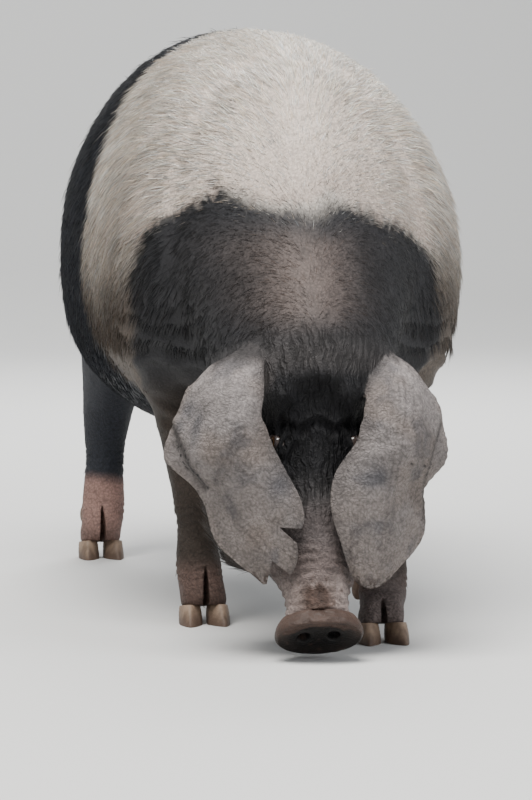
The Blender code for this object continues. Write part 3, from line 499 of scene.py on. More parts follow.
def noise(points, size, seed=0):
    """Smooth value noise from -1 to 1: lattice numbers size apart, blended by a cubic ease on each axis."""
    scaled = points / size
    cell = np.floor(scaled).astype(np.int64)
    part = scaled - cell
    part = part * part * (3 - 2 * part)
    total = 0
    for dx, dy, dz in np.ndindex(2, 2, 2):
        weight = np.abs(1 - dx - part[:, 0]) * np.abs(1 - dy - part[:, 1])
        weight = weight * np.abs(1 - dz - part[:, 2])
        total = total + weight * lattice(cell[:, 0] + dx, cell[:, 1] + dy, cell[:, 2] + dz, seed)
    return total * 2 - 1


def cloud(points, size, octaves=3, seed=0):
    """Layers of noise, each half the size and half the strength of the one before."""
    total, strength = 0, 1.0
    for k in range(octaves):
        total = total + strength * noise(points, size / 2**k, seed + 17 * k)
        strength *= 0.5
    return total / (2 - 0.5 ** (octaves - 1))


def unit(vectors):
    """Each vector at length 1."""
    return vectors / (np.linalg.norm(vectors, axis=-1, keepdims=True) + 1e-12)


def new_object(name, mesh, matrix=None):
    """Links a mesh as an object of the scene, its points moved by the matrix first."""
    obj = bpy.data.objects.new(name, mesh)
    bpy.context.scene.collection.objects.link(obj)
    if matrix is not None:
        mesh.transform(matrix)
    return obj


def grid_faces(lines, count):
    """Quads between neighbouring rings of count points, and triangles to the two end points after them."""
    i, j = np.meshgrid(np.arange(lines - 1), np.arange(count), indexing="ij")
    k = (j + 1) % count
    here, ahead = i * count, (i + 1) * count
    quads = np.stack([here + j, here + k, ahead + k, ahead + j], -1).reshape(-1, 4)
    j = np.arange(count)
    k = (j + 1) % count
    end = (lines - 1) * count
    first = np.stack([k, j, np.full(count, lines * count)], 1)
    last = np.stack([end + j, end + k, np.full(count, lines * count + 1)], 1)
    return quads.tolist() + first.tolist() + last.tolist()


def swept(name, rings):
    """A closed mesh through equal rings of points, each end drawn to a point at its ring's middle."""
    rings = np.asarray(rings, float)
    points = np.vstack([rings.reshape(-1, 3), rings[0].mean(0), rings[-1].mean(0)])
    mesh = bpy.data.meshes.new(name)
    mesh.from_pydata(points.tolist(), [], grid_faces(*rings.shape[:2]))
    outward(mesh)
    return new_object(name, mesh)


def outward(mesh):
    """Turns every face of a closed mesh outwards."""
    bm = bmesh.new()
    bm.from_mesh(mesh)
    bmesh.ops.recalc_face_normals(bm, faces=bm.faces)
    if bm.calc_volume(signed=True) < 0:
        bmesh.ops.reverse_faces(bm, faces=bm.faces)
    bm.to_mesh(mesh)
    bm.free()


def ellipsoid(name, middle, half_sizes, place=None, segments=28):
    """A ball stretched to three half sizes round its middle, in a frame of its own if one is given."""
    bm = bmesh.new()
    bmesh.ops.create_uvsphere(bm, u_segments=segments, v_segments=segments // 2, radius=1)
    mesh = bpy.data.meshes.new(name)
    bm.to_mesh(mesh)
    bm.free()
    sized = Matrix.Translation(middle) @ Matrix.Diagonal((*half_sizes, 1))
    return new_object(name, mesh, sized if place is None else place @ sized)


def vertices(obj):
    """The object's points as rows of x y z."""
    points = np.empty(len(obj.data.vertices) * 3, np.float32)
    obj.data.vertices.foreach_get("co", points)
    return points.reshape(-1, 3).astype(float)


def set_vertices(obj, points):
    """Moves the object's points to new places."""
    obj.data.vertices.foreach_set("co", np.asarray(points, np.float32).ravel())
    obj.data.update()
    return obj


def normals(obj):
    """The direction out of the surface at each point."""
    values = np.empty(len(obj.data.vertices) * 3, np.float32)
    obj.data.vertex_normals.foreach_get("vector", values)
    return values.reshape(-1, 3).astype(float)


def toes(foot):
    """The two toes of a foot, side by side."""
    (x, y, z), sizes = TOE
    return [ellipsoid("toe", (foot[0] + side * x, foot[1] + y, z), sizes) for side in (1, -1)]


def joined(name, objects):
    """One mesh object from several, their meshes simply put together."""
    bm = bmesh.new()
    for obj in objects:
        bm.from_mesh(obj.data)
        bpy.data.objects.remove(obj)
    mesh = bpy.data.meshes.new(name)
    bm.to_mesh(mesh)
    bm.free()
    return new_object(name, mesh)


def applied(obj):
    """Makes the object's evaluated mesh its own, with no modifiers left."""
    graph = bpy.context.evaluated_depsgraph_get()
    mesh = bpy.data.meshes.new_from_object(obj.evaluated_get(graph))
    obj.modifiers.clear()
    obj.data = mesh
    return obj


def tree_of(obj):
    """The object's surface, ready for rays."""
    return BVHTree.FromPolygons([v.co for v in obj.data.vertices], [p.vertices for p in obj.data.polygons])


def head_frame():
    """Takes (across, up the axis, towards the bridge) to the pig's own frame, before the head's turn."""
    axis = Vector((0, math.cos(HEAD_PITCH), math.sin(HEAD_PITCH)))
    bridge = Vector((0, -math.sin(HEAD_PITCH), math.cos(HEAD_PITCH)))
    place = Matrix.Identity(4)
    place.col[1][:3], place.col[2][:3], place.col[3][:3] = axis, bridge, HEAD_TIP
    return place


def turn_share(y):
    """How far the head's turn has grown at y: 0 at the shoulders, 1 from the neck's middle on."""
    share = np.clip((y - TURN_START) / (TURN_END - TURN_START), 0, 1)
    return share * share * (3 - 2 * share)


def turned(points, back=False):
    """Swings what lies ahead of the shoulders to her right, growing along the neck, or undoes it."""
    points = np.array(points, float)
    angle = HEAD_TURN * turn_share(points[:, 1]) * (1 if back else -1)
    ahead = points[:, 1] - TURN_START
    moved = points.copy()
    moved[:, 0] = points[:, 0] * np.cos(angle) - ahead * np.sin(angle)
    moved[:, 1] = TURN_START + points[:, 0] * np.sin(angle) + ahead * np.cos(angle)
    return moved


def turn_mesh(obj):
    """The object with its points swung by the head's turn."""
    return set_vertices(obj, turned(vertices(obj)))


def head_place(points):
    """Each point in the head's own frame: across, up the axis from the snout, towards the bridge."""
    inverse = np.array(head_frame().inverted())
    straight = turned(points, back=True)
    return straight @ inverse[:3, :3].T + inverse[:3, 3]


def trunk():
    """The trunk, as rings down the back."""
    rings = []
    for y, back, belly, half_width, widest in smooth_rows(TRUNK):
        across, up = outline(half_width, back - widest, widest - belly, TRUNK_SQUARENESS)
        rings.append(np.stack([across, np.full(AROUND, y), widest + up], 1))
    return swept("trunk", rings)


def neck():
    """The neck, as rings square to its own bent line."""
    rows = smooth_rows(NECK)
    heading = unit(np.gradient(rows[:, :2], axis=0))
    rings = []
    for (y, z, half_width, depth), (run, rise) in zip(rows, heading):
        across, up = outline(half_width, depth, depth, NECK_SQUARENESS)
        rings.append(np.stack([across, y + up * rise, z - up * run], 1))
    return turn_mesh(swept("neck_mass", rings))


def head():
    """The head, as rings along its axis."""
    place = np.array(head_frame())
    rings = []
    for up_axis, bridge, jaw, half_width, widest in smooth_rows(HEAD):
        across, level = outline(half_width, bridge - widest, widest - jaw, HEAD_SQUARENESS)
        local = np.stack([across, np.full(AROUND, up_axis), widest + level, np.ones(AROUND)], 1)
        rings.append((local @ place.T)[:, :3])
    return turn_mesh(swept("head_mass", rings))


def limb(name):
    """Rings down a limb, each a rounded outline round the bent line from the top point to the foot."""
    table, top, foot, _ = LEGS[name]
    top, foot = np.array(top), np.array(foot)
    rings = []
    for share, half_width, half_depth, bend in smooth_rows(table):
        middle = foot + (top - foot) * share - (0, bend, 0)
        across, along = outline(half_width, half_depth, half_depth, (2.1, 2.1), LEG_AROUND)
        height = np.full(LEG_AROUND, middle[2])
        rings.append(np.stack([middle[0] + across, middle[1] + along, height], 1))
    return swept(name, rings)


def mirrored_ellipsoids(name, shape, place=None, turn=False):
    """A pair of swellings, one on each side."""
    (x, y, z), sizes = shape
    made = [ellipsoid(f"{name}_{side}", (side * x, y, z), sizes, place) for side in (1, -1)]
    return [turn_mesh(obj) for obj in made] if turn else made


def fused_flesh():
    """The masses of the solids put together, fused on a voxel grid and smoothed in the same way."""
    masses = [trunk(), neck(), head()]
    masses += mirrored_ellipsoids("shoulder", SHOULDER)
    masses += mirrored_ellipsoids("ham", HAM)
    for name, shape in (("jowl", JOWL), ("brow", BROW), ("cheek", CHEEK)):
        masses += mirrored_ellipsoids(name, shape, head_frame(), turn=True)
    for name, (_, _, foot, _) in LEGS.items():
        masses += [limb(name), *toes(foot)]
    flesh = joined("flesh", masses)
    fuse = flesh.modifiers.new("fuse", "REMESH")
    fuse.mode, fuse.voxel_size = "VOXEL", VOXEL
    smooth = flesh.modifiers.new("smooth", "SMOOTH")
    smooth.factor, smooth.iterations = 0.5, FUSE_PASSES
    return applied(flesh)


def ear_sheet(table, tree):
    """The ear's middle sheet, as in the solids: rows from inner edge to outer, laid over the face."""
    rows = smooth_rows(table, 2)
    u = np.linspace(0, 1, EAR_COLUMNS)
    x = rows[:, :1] + (rows[:, 2:3] - rows[:, :1]) * u
    z = rows[:, 1:2] + (rows[:, 3:4] - rows[:, 1:2]) * u
    y = -rows[:, 4:5] - rows[:, 5:6] * np.sin(np.pi * u) ** EAR_FULLNESS + rows[:, 6:7] * u**2.2
    for index in np.ndindex(x.shape):
        hit = tree.ray_cast(Vector((x[index], -1.2, z[index])), Vector((0, 1, 0)))[0]
        if hit is not None and z[index] < EAR_FREE:
            y[index] = min(y[index], hit.y - EAR_CLEARANCE)
    for _ in range(EAR_SMOOTHING):
        padded = np.pad(y, 1, mode="edge")
        y = (y + (padded[:-2, 1:-1] + padded[2:, 1:-1] + padded[1:-1, :-2] + padded[1:-1, 2:]) / 4) / 2
    return np.stack([x, y, z], -1)


def refined(sheet, steps):
    """A grid of points carried through Catmull-Rom curves along its rows and then its columns."""
    rows = smooth_rows(sheet.reshape(len(sheet), -1), steps).reshape(-1, *sheet.shape[1:])
    turned_grid = rows.transpose(1, 0, 2)
    columns = smooth_rows(turned_grid.reshape(len(turned_grid), -1), steps)
    return columns.reshape(-1, *turned_grid.shape[1:]).transpose(1, 0, 2)


def apart(points, line):
    """The shortest distance from each x z point to a line through several."""
    line = np.asarray(line, float)
    best = np.full(points.shape[:-1], 9.0)
    for start, end in zip(line[:-1], line[1:]):
        step = end - start
        share = np.clip(((points - start) @ step) / (step @ step), 0, 1)
        best = np.minimum(best, np.linalg.norm(points - start - share[..., None] * step, axis=-1))
    return best


def ear_relief(fine, u, v, marks):
    """How far the ear's two faces move along its normal: its bend as a whole, and the front's own relief.

    The outer lobe is folded back behind its crease; veins stand out; long folds run down from the
    root, and fine waves cross it, weaker towards the tip."""
    crease, veins, hollows, side = marks
    place = fine[..., [0, 2]]
    points = fine.reshape(-1, 3)
    shape = u.shape
    broad = cloud(points, 0.050, 2, 101).reshape(shape)
    fine_cloud = cloud(points, 0.016, 2, 102).reshape(shape)
    line = np.array(crease)[::-1]
    beyond = side * (place[..., 0] - np.interp(place[..., 1], line[:, 1], line[:, 0]))
    window = eased(place[..., 1], line[0, 1] - 0.012, line[0, 1] + 0.012)
    window = window * eased(place[..., 1], line[-1, 1] + 0.020, line[-1, 1] - 0.004)
    lobe = eased(beyond, 0.0, 0.010) * window
    bend = EAR_BEND["lobe"] * lobe + EAR_BEND["lobe_edge"] * lobe * eased(u, 0.88, 1.0)
    bend = bend + EAR_BEND["by_crease"] * bump(beyond, -0.006, 0.006) * window
    bend = bend + EAR_BEND["crease"] * bump(apart(place, crease), 0, 0.0032)
    bend = bend + EAR_BEND["broad"] * broad * eased(v, 1.0, 0.1) + EAR_BEND["fine"] * fine_cloud
    folds = np.sin((u * 4.3 + 0.55 * broad + 0.8 * v) * 2 * np.pi)
    front = EAR_FRONT["folds"] * folds * eased(v, 0.75, 0.10) * np.sin(np.pi * u) ** 0.5
    down = v * EAR_LENGTH
    waves = ripples(down + 0.010 * broad + 0.003 * np.sin(u * 9), EAR_WAVE)
    front = front + EAR_FRONT["waves"] * waves * eased(v, 0.75, 0.30) * (0.5 + 0.5 * fine_cloud)
    cross_waves = ripples(down * 0.9 + u * 0.05 + 0.012 * fine_cloud, EAR_CROSS_WAVE)
    front = front + EAR_FRONT["cross_waves"] * cross_waves * (0.6 + 0.6 * broad)
    for vein in veins:
        off = apart(place, vein)
        swell = EAR_FRONT["vein"] * (0.5 + 0.5 * fine_cloud)
        front = front + swell * bump(off, 0, 0.0030) + EAR_FRONT["by_vein"] * bump(off, 0.0050, 0.0022)
    for x, z, wide, deep in hollows:
        front = front + deep * bump(np.hypot(place[..., 0] - x, place[..., 1] - z), 0, wide)
    rim = np.minimum(u, 1 - u)
    front = front + EAR_FRONT["rim"] * bump(rim, 0, 0.035) * (v > 0.25)
    return bend, front


def ear_rings(sheet, marks, thick=1.0, last=1.0, steps=EAR_STEPS):
    """Rings round the ear's middle sheet: thick at the root, thin at the tip, rounded along both edges."""
    fine = refined(sheet, steps)
    normal = unit(np.cross(np.gradient(fine, axis=0), np.gradient(fine, axis=1)))
    if normal[:, :, 1].mean() > 0:
        normal = -normal
    v, u = np.meshgrid(np.linspace(0, 1, fine.shape[0]), np.linspace(0, 1, fine.shape[1]), indexing="ij")
    root, tip = EAR_THICKNESS
    thickness = tip + (root - tip) * (1 - v) ** 3
    half = 0.5 * thick * thickness * np.sin(np.pi * np.clip(u, 0.015, 0.985)) ** 0.35
    bend, relief = ear_relief(fine, u, v, marks) if marks else (0 * u, 0 * u)
    inset = 0.0010 if marks else 0.0
    front = fine + normal * (bend + relief + half - inset)[..., None]
    back = fine + normal * (bend + 0.5 * relief - half + inset)[..., None]
    rings = np.concatenate([front, back[:, ::-1]], axis=1)
    return rings[: max(2, int(len(rings) * last))]


def tear(flap):
    """Cuts the notches of the torn edge straight through the flap."""
    for notch in TEARS:
        wedge = swept("notch", [[(x, y, z) for x, z in notch] for y in (-0.80, -0.30)])
        cutting = flap.modifiers.new("tear", "BOOLEAN")
        cutting.operation, cutting.solver, cutting.object = "DIFFERENCE", "EXACT", wedge
        applied(flap)
        bpy.data.objects.remove(wedge)
    return flap


class EarMap:
    """Where the ears hang, seen from ahead: each small cell's place on the ear and both faces' depth."""

    def __init__(self, sheets):
        """Draws both ears' sheets into the map."""
        self.values = np.full((*EAR_MAP_CELLS, 5), np.nan)
        for marks, (side, sheet) in zip((MARKS_RIGHT, MARKS_LEFT), sheets):
            rings = ear_rings(sheet, (*marks, side), steps=14)
            front, back = np.array_split(rings, 2, axis=1)
            back = back[:, ::-1]
            rows, columns = front.shape[:2]
            v, u = np.meshgrid(np.linspace(0, 1, rows), np.linspace(0, 1, columns), indexing="ij")
            index = self.cell_of(front)
            packed = np.stack([front[..., 1], u, v, np.full(u.shape, side), back[..., 1]], -1)
            self.values[index[..., 0], index[..., 1]] = packed

    def cell_of(self, points):
        """The row and the column of the cell each point lies in."""
        return np.round((points[..., [0, 2]] - np.array(EAR_MAP_LOW)) / EAR_CELL).astype(int)

    def look(self, points):
        """For each point: on an ear or not, across it, down it, its side, outer face or not."""
        index = self.cell_of(points)
        inside = ((index >= 0) & (index < self.values.shape[:2])).all(axis=1)
        index = np.where(inside[:, None], index, 0)
        found = self.values[index[:, 0], index[:, 1]]
        found[~inside] = np.nan
        front, u, v, side, back = found.T
        y = points[:, 1]
        on = (y > front - 0.005) & (y < back + 0.006) & ~np.isnan(front)
        u, v, side = (np.nan_to_num(values) for values in (u, v, side))
        return on, u, v, side, on & (y < np.nan_to_num((front + back) / 2, nan=9.0))


def tail_tube():
    """The tail: a tube that thins along a bent line."""
    rows = smooth_rows(TAIL, 6)
    heading = unit(np.gradient(rows[:, :3], axis=0))
    side = unit(np.cross(heading, (0, -1, 0.35)))
    up = np.cross(side, heading)
    angle = np.arange(TAIL_AROUND) * 2 * np.pi / TAIL_AROUND
    circle = np.cos(angle)[None, :, None] * side[:, None] + np.sin(angle)[None, :, None] * up[:, None]
    return swept("tail_mass", rows[:, None, :3] + rows[:, None, 3:] * circle)


def eye_places(tree):
    """For each eye, the frame (along the slit, across it, out of the head) at the middle of the ball."""
    place = head_frame()
    found = []
    for side in (1, -1):
        start = place @ Vector(EYE_AT)
        out = (place.to_3x3() @ Vector((side * EYE_TOWARDS[0], *EYE_TOWARDS[1:]))).normalized()
        start, tip = [Vector(p) for p in turned([start, start + out])]
        out = (tip - start).normalized()
        hit = tree.ray_cast(start + out * 0.3, -out)[0]
        along = (place.to_3x3() @ Vector((0, 1, 0))).normalized()
        along = (along - out * along.dot(out)).normalized()
        across = out.cross(along)
        middle = hit - out * EYE_DEPTH
        matrix = Matrix.Identity(4)
        for column, axis in enumerate((along, across, out, middle)):
            matrix.col[column][:3] = axis
        found.append((side, matrix))
    return found


def disc_frame():
    """Takes (across, up in the face, out of the face) to the pig's own frame, before the head's turn."""
    out = Vector((0, -math.cos(DISC_PITCH), -math.sin(DISC_PITCH)))
    up = Vector((0, -math.sin(DISC_PITCH), math.cos(DISC_PITCH)))
    across = up.cross(out)
    place = Matrix.Identity(4)
    place.col[0][:3], place.col[1][:3], place.col[2][:3], place.col[3][:3] = across, up, out, DISC
    return place @ Matrix.Rotation(DISC_ROLL, 4, "Z")


def bump(x, middle, width):
    """A smooth hump of height 1 at middle."""
    return np.exp(-(((x - middle) / width) ** 2))


def face_share(points, ears):
    """1 on the face below the poll, 0 on the neck, the body and the ears."""
    s = head_place(points)[:, 1]
    return eased(s, *FACE_ALONG) * eased(points[:, 1], *FACE_AHEAD) * ~ears[0]


def ripples(place, spacing):
    """Waves from -1 to 1 along place, spacing apart."""
    return np.sin(place * 2 * np.pi / spacing)


def skin_relief(points):
    """How far the skin stands out at each point: folds, ridges, wrinkles and the line of the mouth.

    Over the face: rings round the snout; a W of raised skin under the brow pads; curved folds beside
    the eyes; lines down the bridge; the mouth. Over the body: soft unevenness, folds of the throat,
    elbow, knees and pasterns."""
    a, s, h = head_place(points).T
    _, y, z = points.T
    face = eased(s, *FACE_ALONG) * eased(y, *FACE_AHEAD)
    out = np.zeros(len(points))
    wobble = 0.010 * cloud(points, 0.05, 2, 3)
    ring = ripples(s + wobble * 0.6, SNOUT_RINGS[1])
    snout = eased(s, 0.150, 0.090) * eased(h, -0.05, 0.0)
    out += face * snout * SNOUT_RINGS[0] * ring * (0.6 + 0.4 * noise(points, 0.02, 5))
    top = eased(h, -0.02, 0.03)
    heap = face * bump(a + 0.004, 0.0, 0.017) * eased(s, 0.036, 0.016) * eased(h, 0.0, 0.02)
    out += heap * 0.0032 * (1 + 0.8 * cloud(points, 0.007, 2, 16))
    away = np.abs(a)
    folds = ripples(away + 0.35 * (s - 0.2) + wobble, BROW_FOLDS[1])
    out += face * bump(s, 0.222, 0.045) * bump(away, 0.045, 0.024) * top * BROW_FOLDS[0] * folds
    out += face * bump(s, 0.286, 0.013) * bump(away, 0.042, 0.017) * BROW_PAD * (h > 0)
    middle = 0.263 - 0.010 * np.sin(np.pi * np.clip(away / 0.046, 0, 1)) ** 2 + wobble * 0.3
    under = face * bump(away, 0.0, 0.060) * (h > 0)
    out += under * (W_FOLD * bump(s, middle, 0.0050) - W_FOLD * bump(s, middle - 0.011, 0.006))
    out += under * 0.0028 * bump(s, middle - 0.022, 0.0045)
    out -= under * bump(s, 0.318, 0.020) * HOLLOW_DEPTH
    lines = ripples(a + 0.004 * noise(points * (1, 0.3, 0.3), 0.02, 14), BRIDGE_LINES[1])
    out += face * bump(s, 0.205, 0.050) * bump(a, 0, 0.024) * top * BRIDGE_LINES[0] * lines
    line = np.interp(s, *np.array(MOUTH).T)
    near = eased(s, 0.150, 0.130) * (s > -0.05) * face
    out -= near * bump(h - line, 0, 0.0028) * MOUTH_LINE
    out += near * (bump(h - line, 0.010, 0.008) + bump(h - line, -0.010, 0.008)) * LIPS
    jaw = face * eased(h, -0.03, -0.07)
    out += jaw * JAW_FOLDS[0] * ripples(s + wobble, JAW_FOLDS[1]) * eased(s, 0.03, 0.08)
    body = eased(y, -0.50, -0.40)
    out += body * BODY_UNEVEN * cloud(points, 0.12, 2, 21)
    neck_fold = ripples(y + 0.35 * z + 0.03 * cloud(points, 0.1, 2, 7), NECK_FOLDS[1])
    out += body * eased(y, -0.22, -0.34) * NECK_FOLDS[0] * neck_fold * eased(z, 0.44, 0.36)
    elbow = eased(z, 0.46, 0.36) * eased(z, 0.22, 0.32) * eased(np.abs(y + 0.33), 0.12, 0.06)
    out += elbow * ELBOW_FOLDS[0] * ripples(z + 0.02 * cloud(points, 0.06, 2, 9), ELBOW_FOLDS[1])
    leg = eased(z, 0.30, 0.24)
    out += leg * LEG_UNEVEN * cloud(points, 0.030, 3, 31)
    knee = (bump(z, 0.150, 0.030) + bump(z, 0.075, 0.014)) * leg
    out += knee * KNEE_FOLDS[0] * ripples(z + 0.006 * noise(points, 0.02, 8), KNEE_FOLDS[1])
    return out


def flattened(points):
    """Holds the skin back behind the snout disc and above the claws."""
    points = points.copy()
    place = disc_frame()
    back = place @ Vector((0, 0, -DISC_BACK))
    out = place.to_3x3() @ Vector((0, 0, 1))
    back, tip = turned([back, back + out])
    out = unit(tip - back)
    beyond = (points - back) @ out
    near = (np.linalg.norm(points - back, axis=1) < 0.12) & (beyond > 0)
    points[near] -= beyond[near, None] * out
    _, half_length, toe, heel, _ = CLAW
    for _, _, foot, _ in LEGS.values():
        along = (points[:, 1] - foot[1] + CLAW_FORWARD) / (2 * half_length)
        top = heel + (toe - heel) * np.clip(0.5 - along, 0, 1)
        under = (np.abs(points[:, :2] - foot[:2]) < 0.08).all(axis=1) & (points[:, 2] < top)
        points[under, 2] = top[under]
    return points


def skin_body():
    """The whole skin, and the things made from it: the eyes' places and the map of the ears.

    The flesh, the ears' thick roots, tail, lids and teats are fused on a grid, given their relief and
    thinned; the two ears are joined to it as grids of their own, and the join is smoothed away."""
    flesh = fused_flesh()
    tree = tree_of(flesh)
    places = eye_places(tree)
    sheets = ((-1, ear_sheet(EAR_RIGHT, tree)), (1, ear_sheet(EAR_LEFT, tree)))
    finer = flesh.modifiers.new("finer", "SUBSURF")
    finer.levels = finer.render_levels = 1
    applied(flesh)
    masses = [flesh, tail_tube()]
    masses += [swept("ear_root", ear_rings(sheet, None, **EAR_ROOT)) for _, sheet in sheets]
    masses += [ellipsoid(f"lids_{side}", (0, 0, 0), LIDS, matrix) for side, matrix in places]
    masses += teat_masses(tree)
    skin = joined("skin", masses)
    fuse = skin.modifiers.new("fuse", "REMESH")
    fuse.mode, fuse.voxel_size = "VOXEL", SKIN_VOXEL
    smooth = skin.modifiers.new("smooth", "SMOOTH")
    smooth.factor, smooth.iterations = 0.5, 2
    applied(skin)
    points = vertices(skin)
    lifted = points + normals(skin) * (skin_relief(points) - SKIN_INSET)[:, None]
    set_vertices(skin, flattened(lifted))
    keep = skin.vertex_groups.new(name="keep")
    _, s, h = head_place(points).T
    detailed = np.nonzero((points[:, 1] < -0.45) & (s < 0.36) & (h > -0.04))[0].tolist()
    keep.add(detailed, 1.0, "REPLACE")
    thin = skin.modifiers.new("thin", "DECIMATE")
    thin.ratio = SKIN_TRIANGLES / (2 * len(skin.data.polygons))
    thin.vertex_group, thin.invert_vertex_group, thin.vertex_group_factor = "keep", True, 0.8
    applied(skin)
    skin.vertex_groups.clear()
    for marks, (side, sheet) in zip((MARKS_RIGHT, MARKS_LEFT), sheets):
        flap = swept("flap", ear_rings(sheet, (*marks, side)))
        cut_out(skin, tear(flap) if side < 0 else flap, "UNION")
    soften_roots(skin, sheets)
    for _, matrix in places:
        cut_out(skin, ellipsoid("slit", (0, 0, 0.010), LID_SLIT, matrix, 24))
        cut_out(skin, ellipsoid("socket", (0, 0, 0), (EYE_RADIUS + 0.0004,) * 3, matrix, 24))
    (x, y, z), sizes = CLEFT
    for _, _, foot, _ in LEGS.values():
        cut_out(skin, ellipsoid("cleft", (foot[0] + x, foot[1] + y, z), sizes, None, 32))
    skin.data.shade_smooth()
    return skin, places, EarMap(sheets)


def soften_roots(skin, sheets):
    """Smooths the skin where each ear comes out of the head."""
    points = vertices(skin)
    near = np.zeros(len(points))
    for _, sheet in sheets:
        for row, reach in zip(sheet, ROOT_REACH):
            for spot in row[::3] if reach > 0.030 else row[:1]:
                near = np.maximum(near, eased(np.linalg.norm(points - spot, axis=1), reach, reach - 0.014))
    roots = skin.vertex_groups.new(name="roots")
    for index in np.nonzero(near > 0.02)[0].tolist():
        roots.add([index], near[index], "REPLACE")
    soft = skin.modifiers.new("soft", "SMOOTH")
    soft.factor, soft.iterations, soft.vertex_group = 0.6, 36, "roots"
    applied(skin)
    skin.vertex_groups.clear()


def cut_out(obj, tool, operation="DIFFERENCE"):
    """Cuts the tool out of the object, or joins the two, and drops the tool."""
    cutting = obj.modifiers.new("cut", "BOOLEAN")
    cutting.operation, cutting.solver, cutting.object = operation, "MANIFOLD", tool
    applied(obj)
    bpy.data.objects.remove(tool)


def teat_masses(tree):
    """Two rows of small teats under the belly."""
    count, first, last, apart, radius, length = TEATS
    made = []
    for y in np.linspace(first, last, count):
        for side in (1, -1):
            hit = tree.ray_cast(Vector((side * apart, y, 0.0)), Vector((0, 0, 1)))[0]
            middle = (hit.x, hit.y, hit.z - length * 0.15)
            made.append(ellipsoid("teat", middle, (radius, radius, length * 0.62), None, 16))
    return made


def leg_of(points):
    """0 off the legs; under the body 1 front right, 2 front left, 3 hind right, 4 hind left."""
    found = np.zeros(len(points), int)
    best = np.full(len(points), 0.16)
    for number, (_, top, foot, _) in enumerate(LEGS.values(), 1):
        share = np.clip(points[:, 2:3] / top[2], 0, 1)
        line = np.array(foot)[:2] + (np.array(top)[:2] - np.array(foot)[:2]) * share
        apart = np.linalg.norm(points[:, :2] - line, axis=1)
        closer = (apart < best) & (points[:, 2] < 0.38)
        found[closer] = number
        best[closer] = apart[closer]
    return found


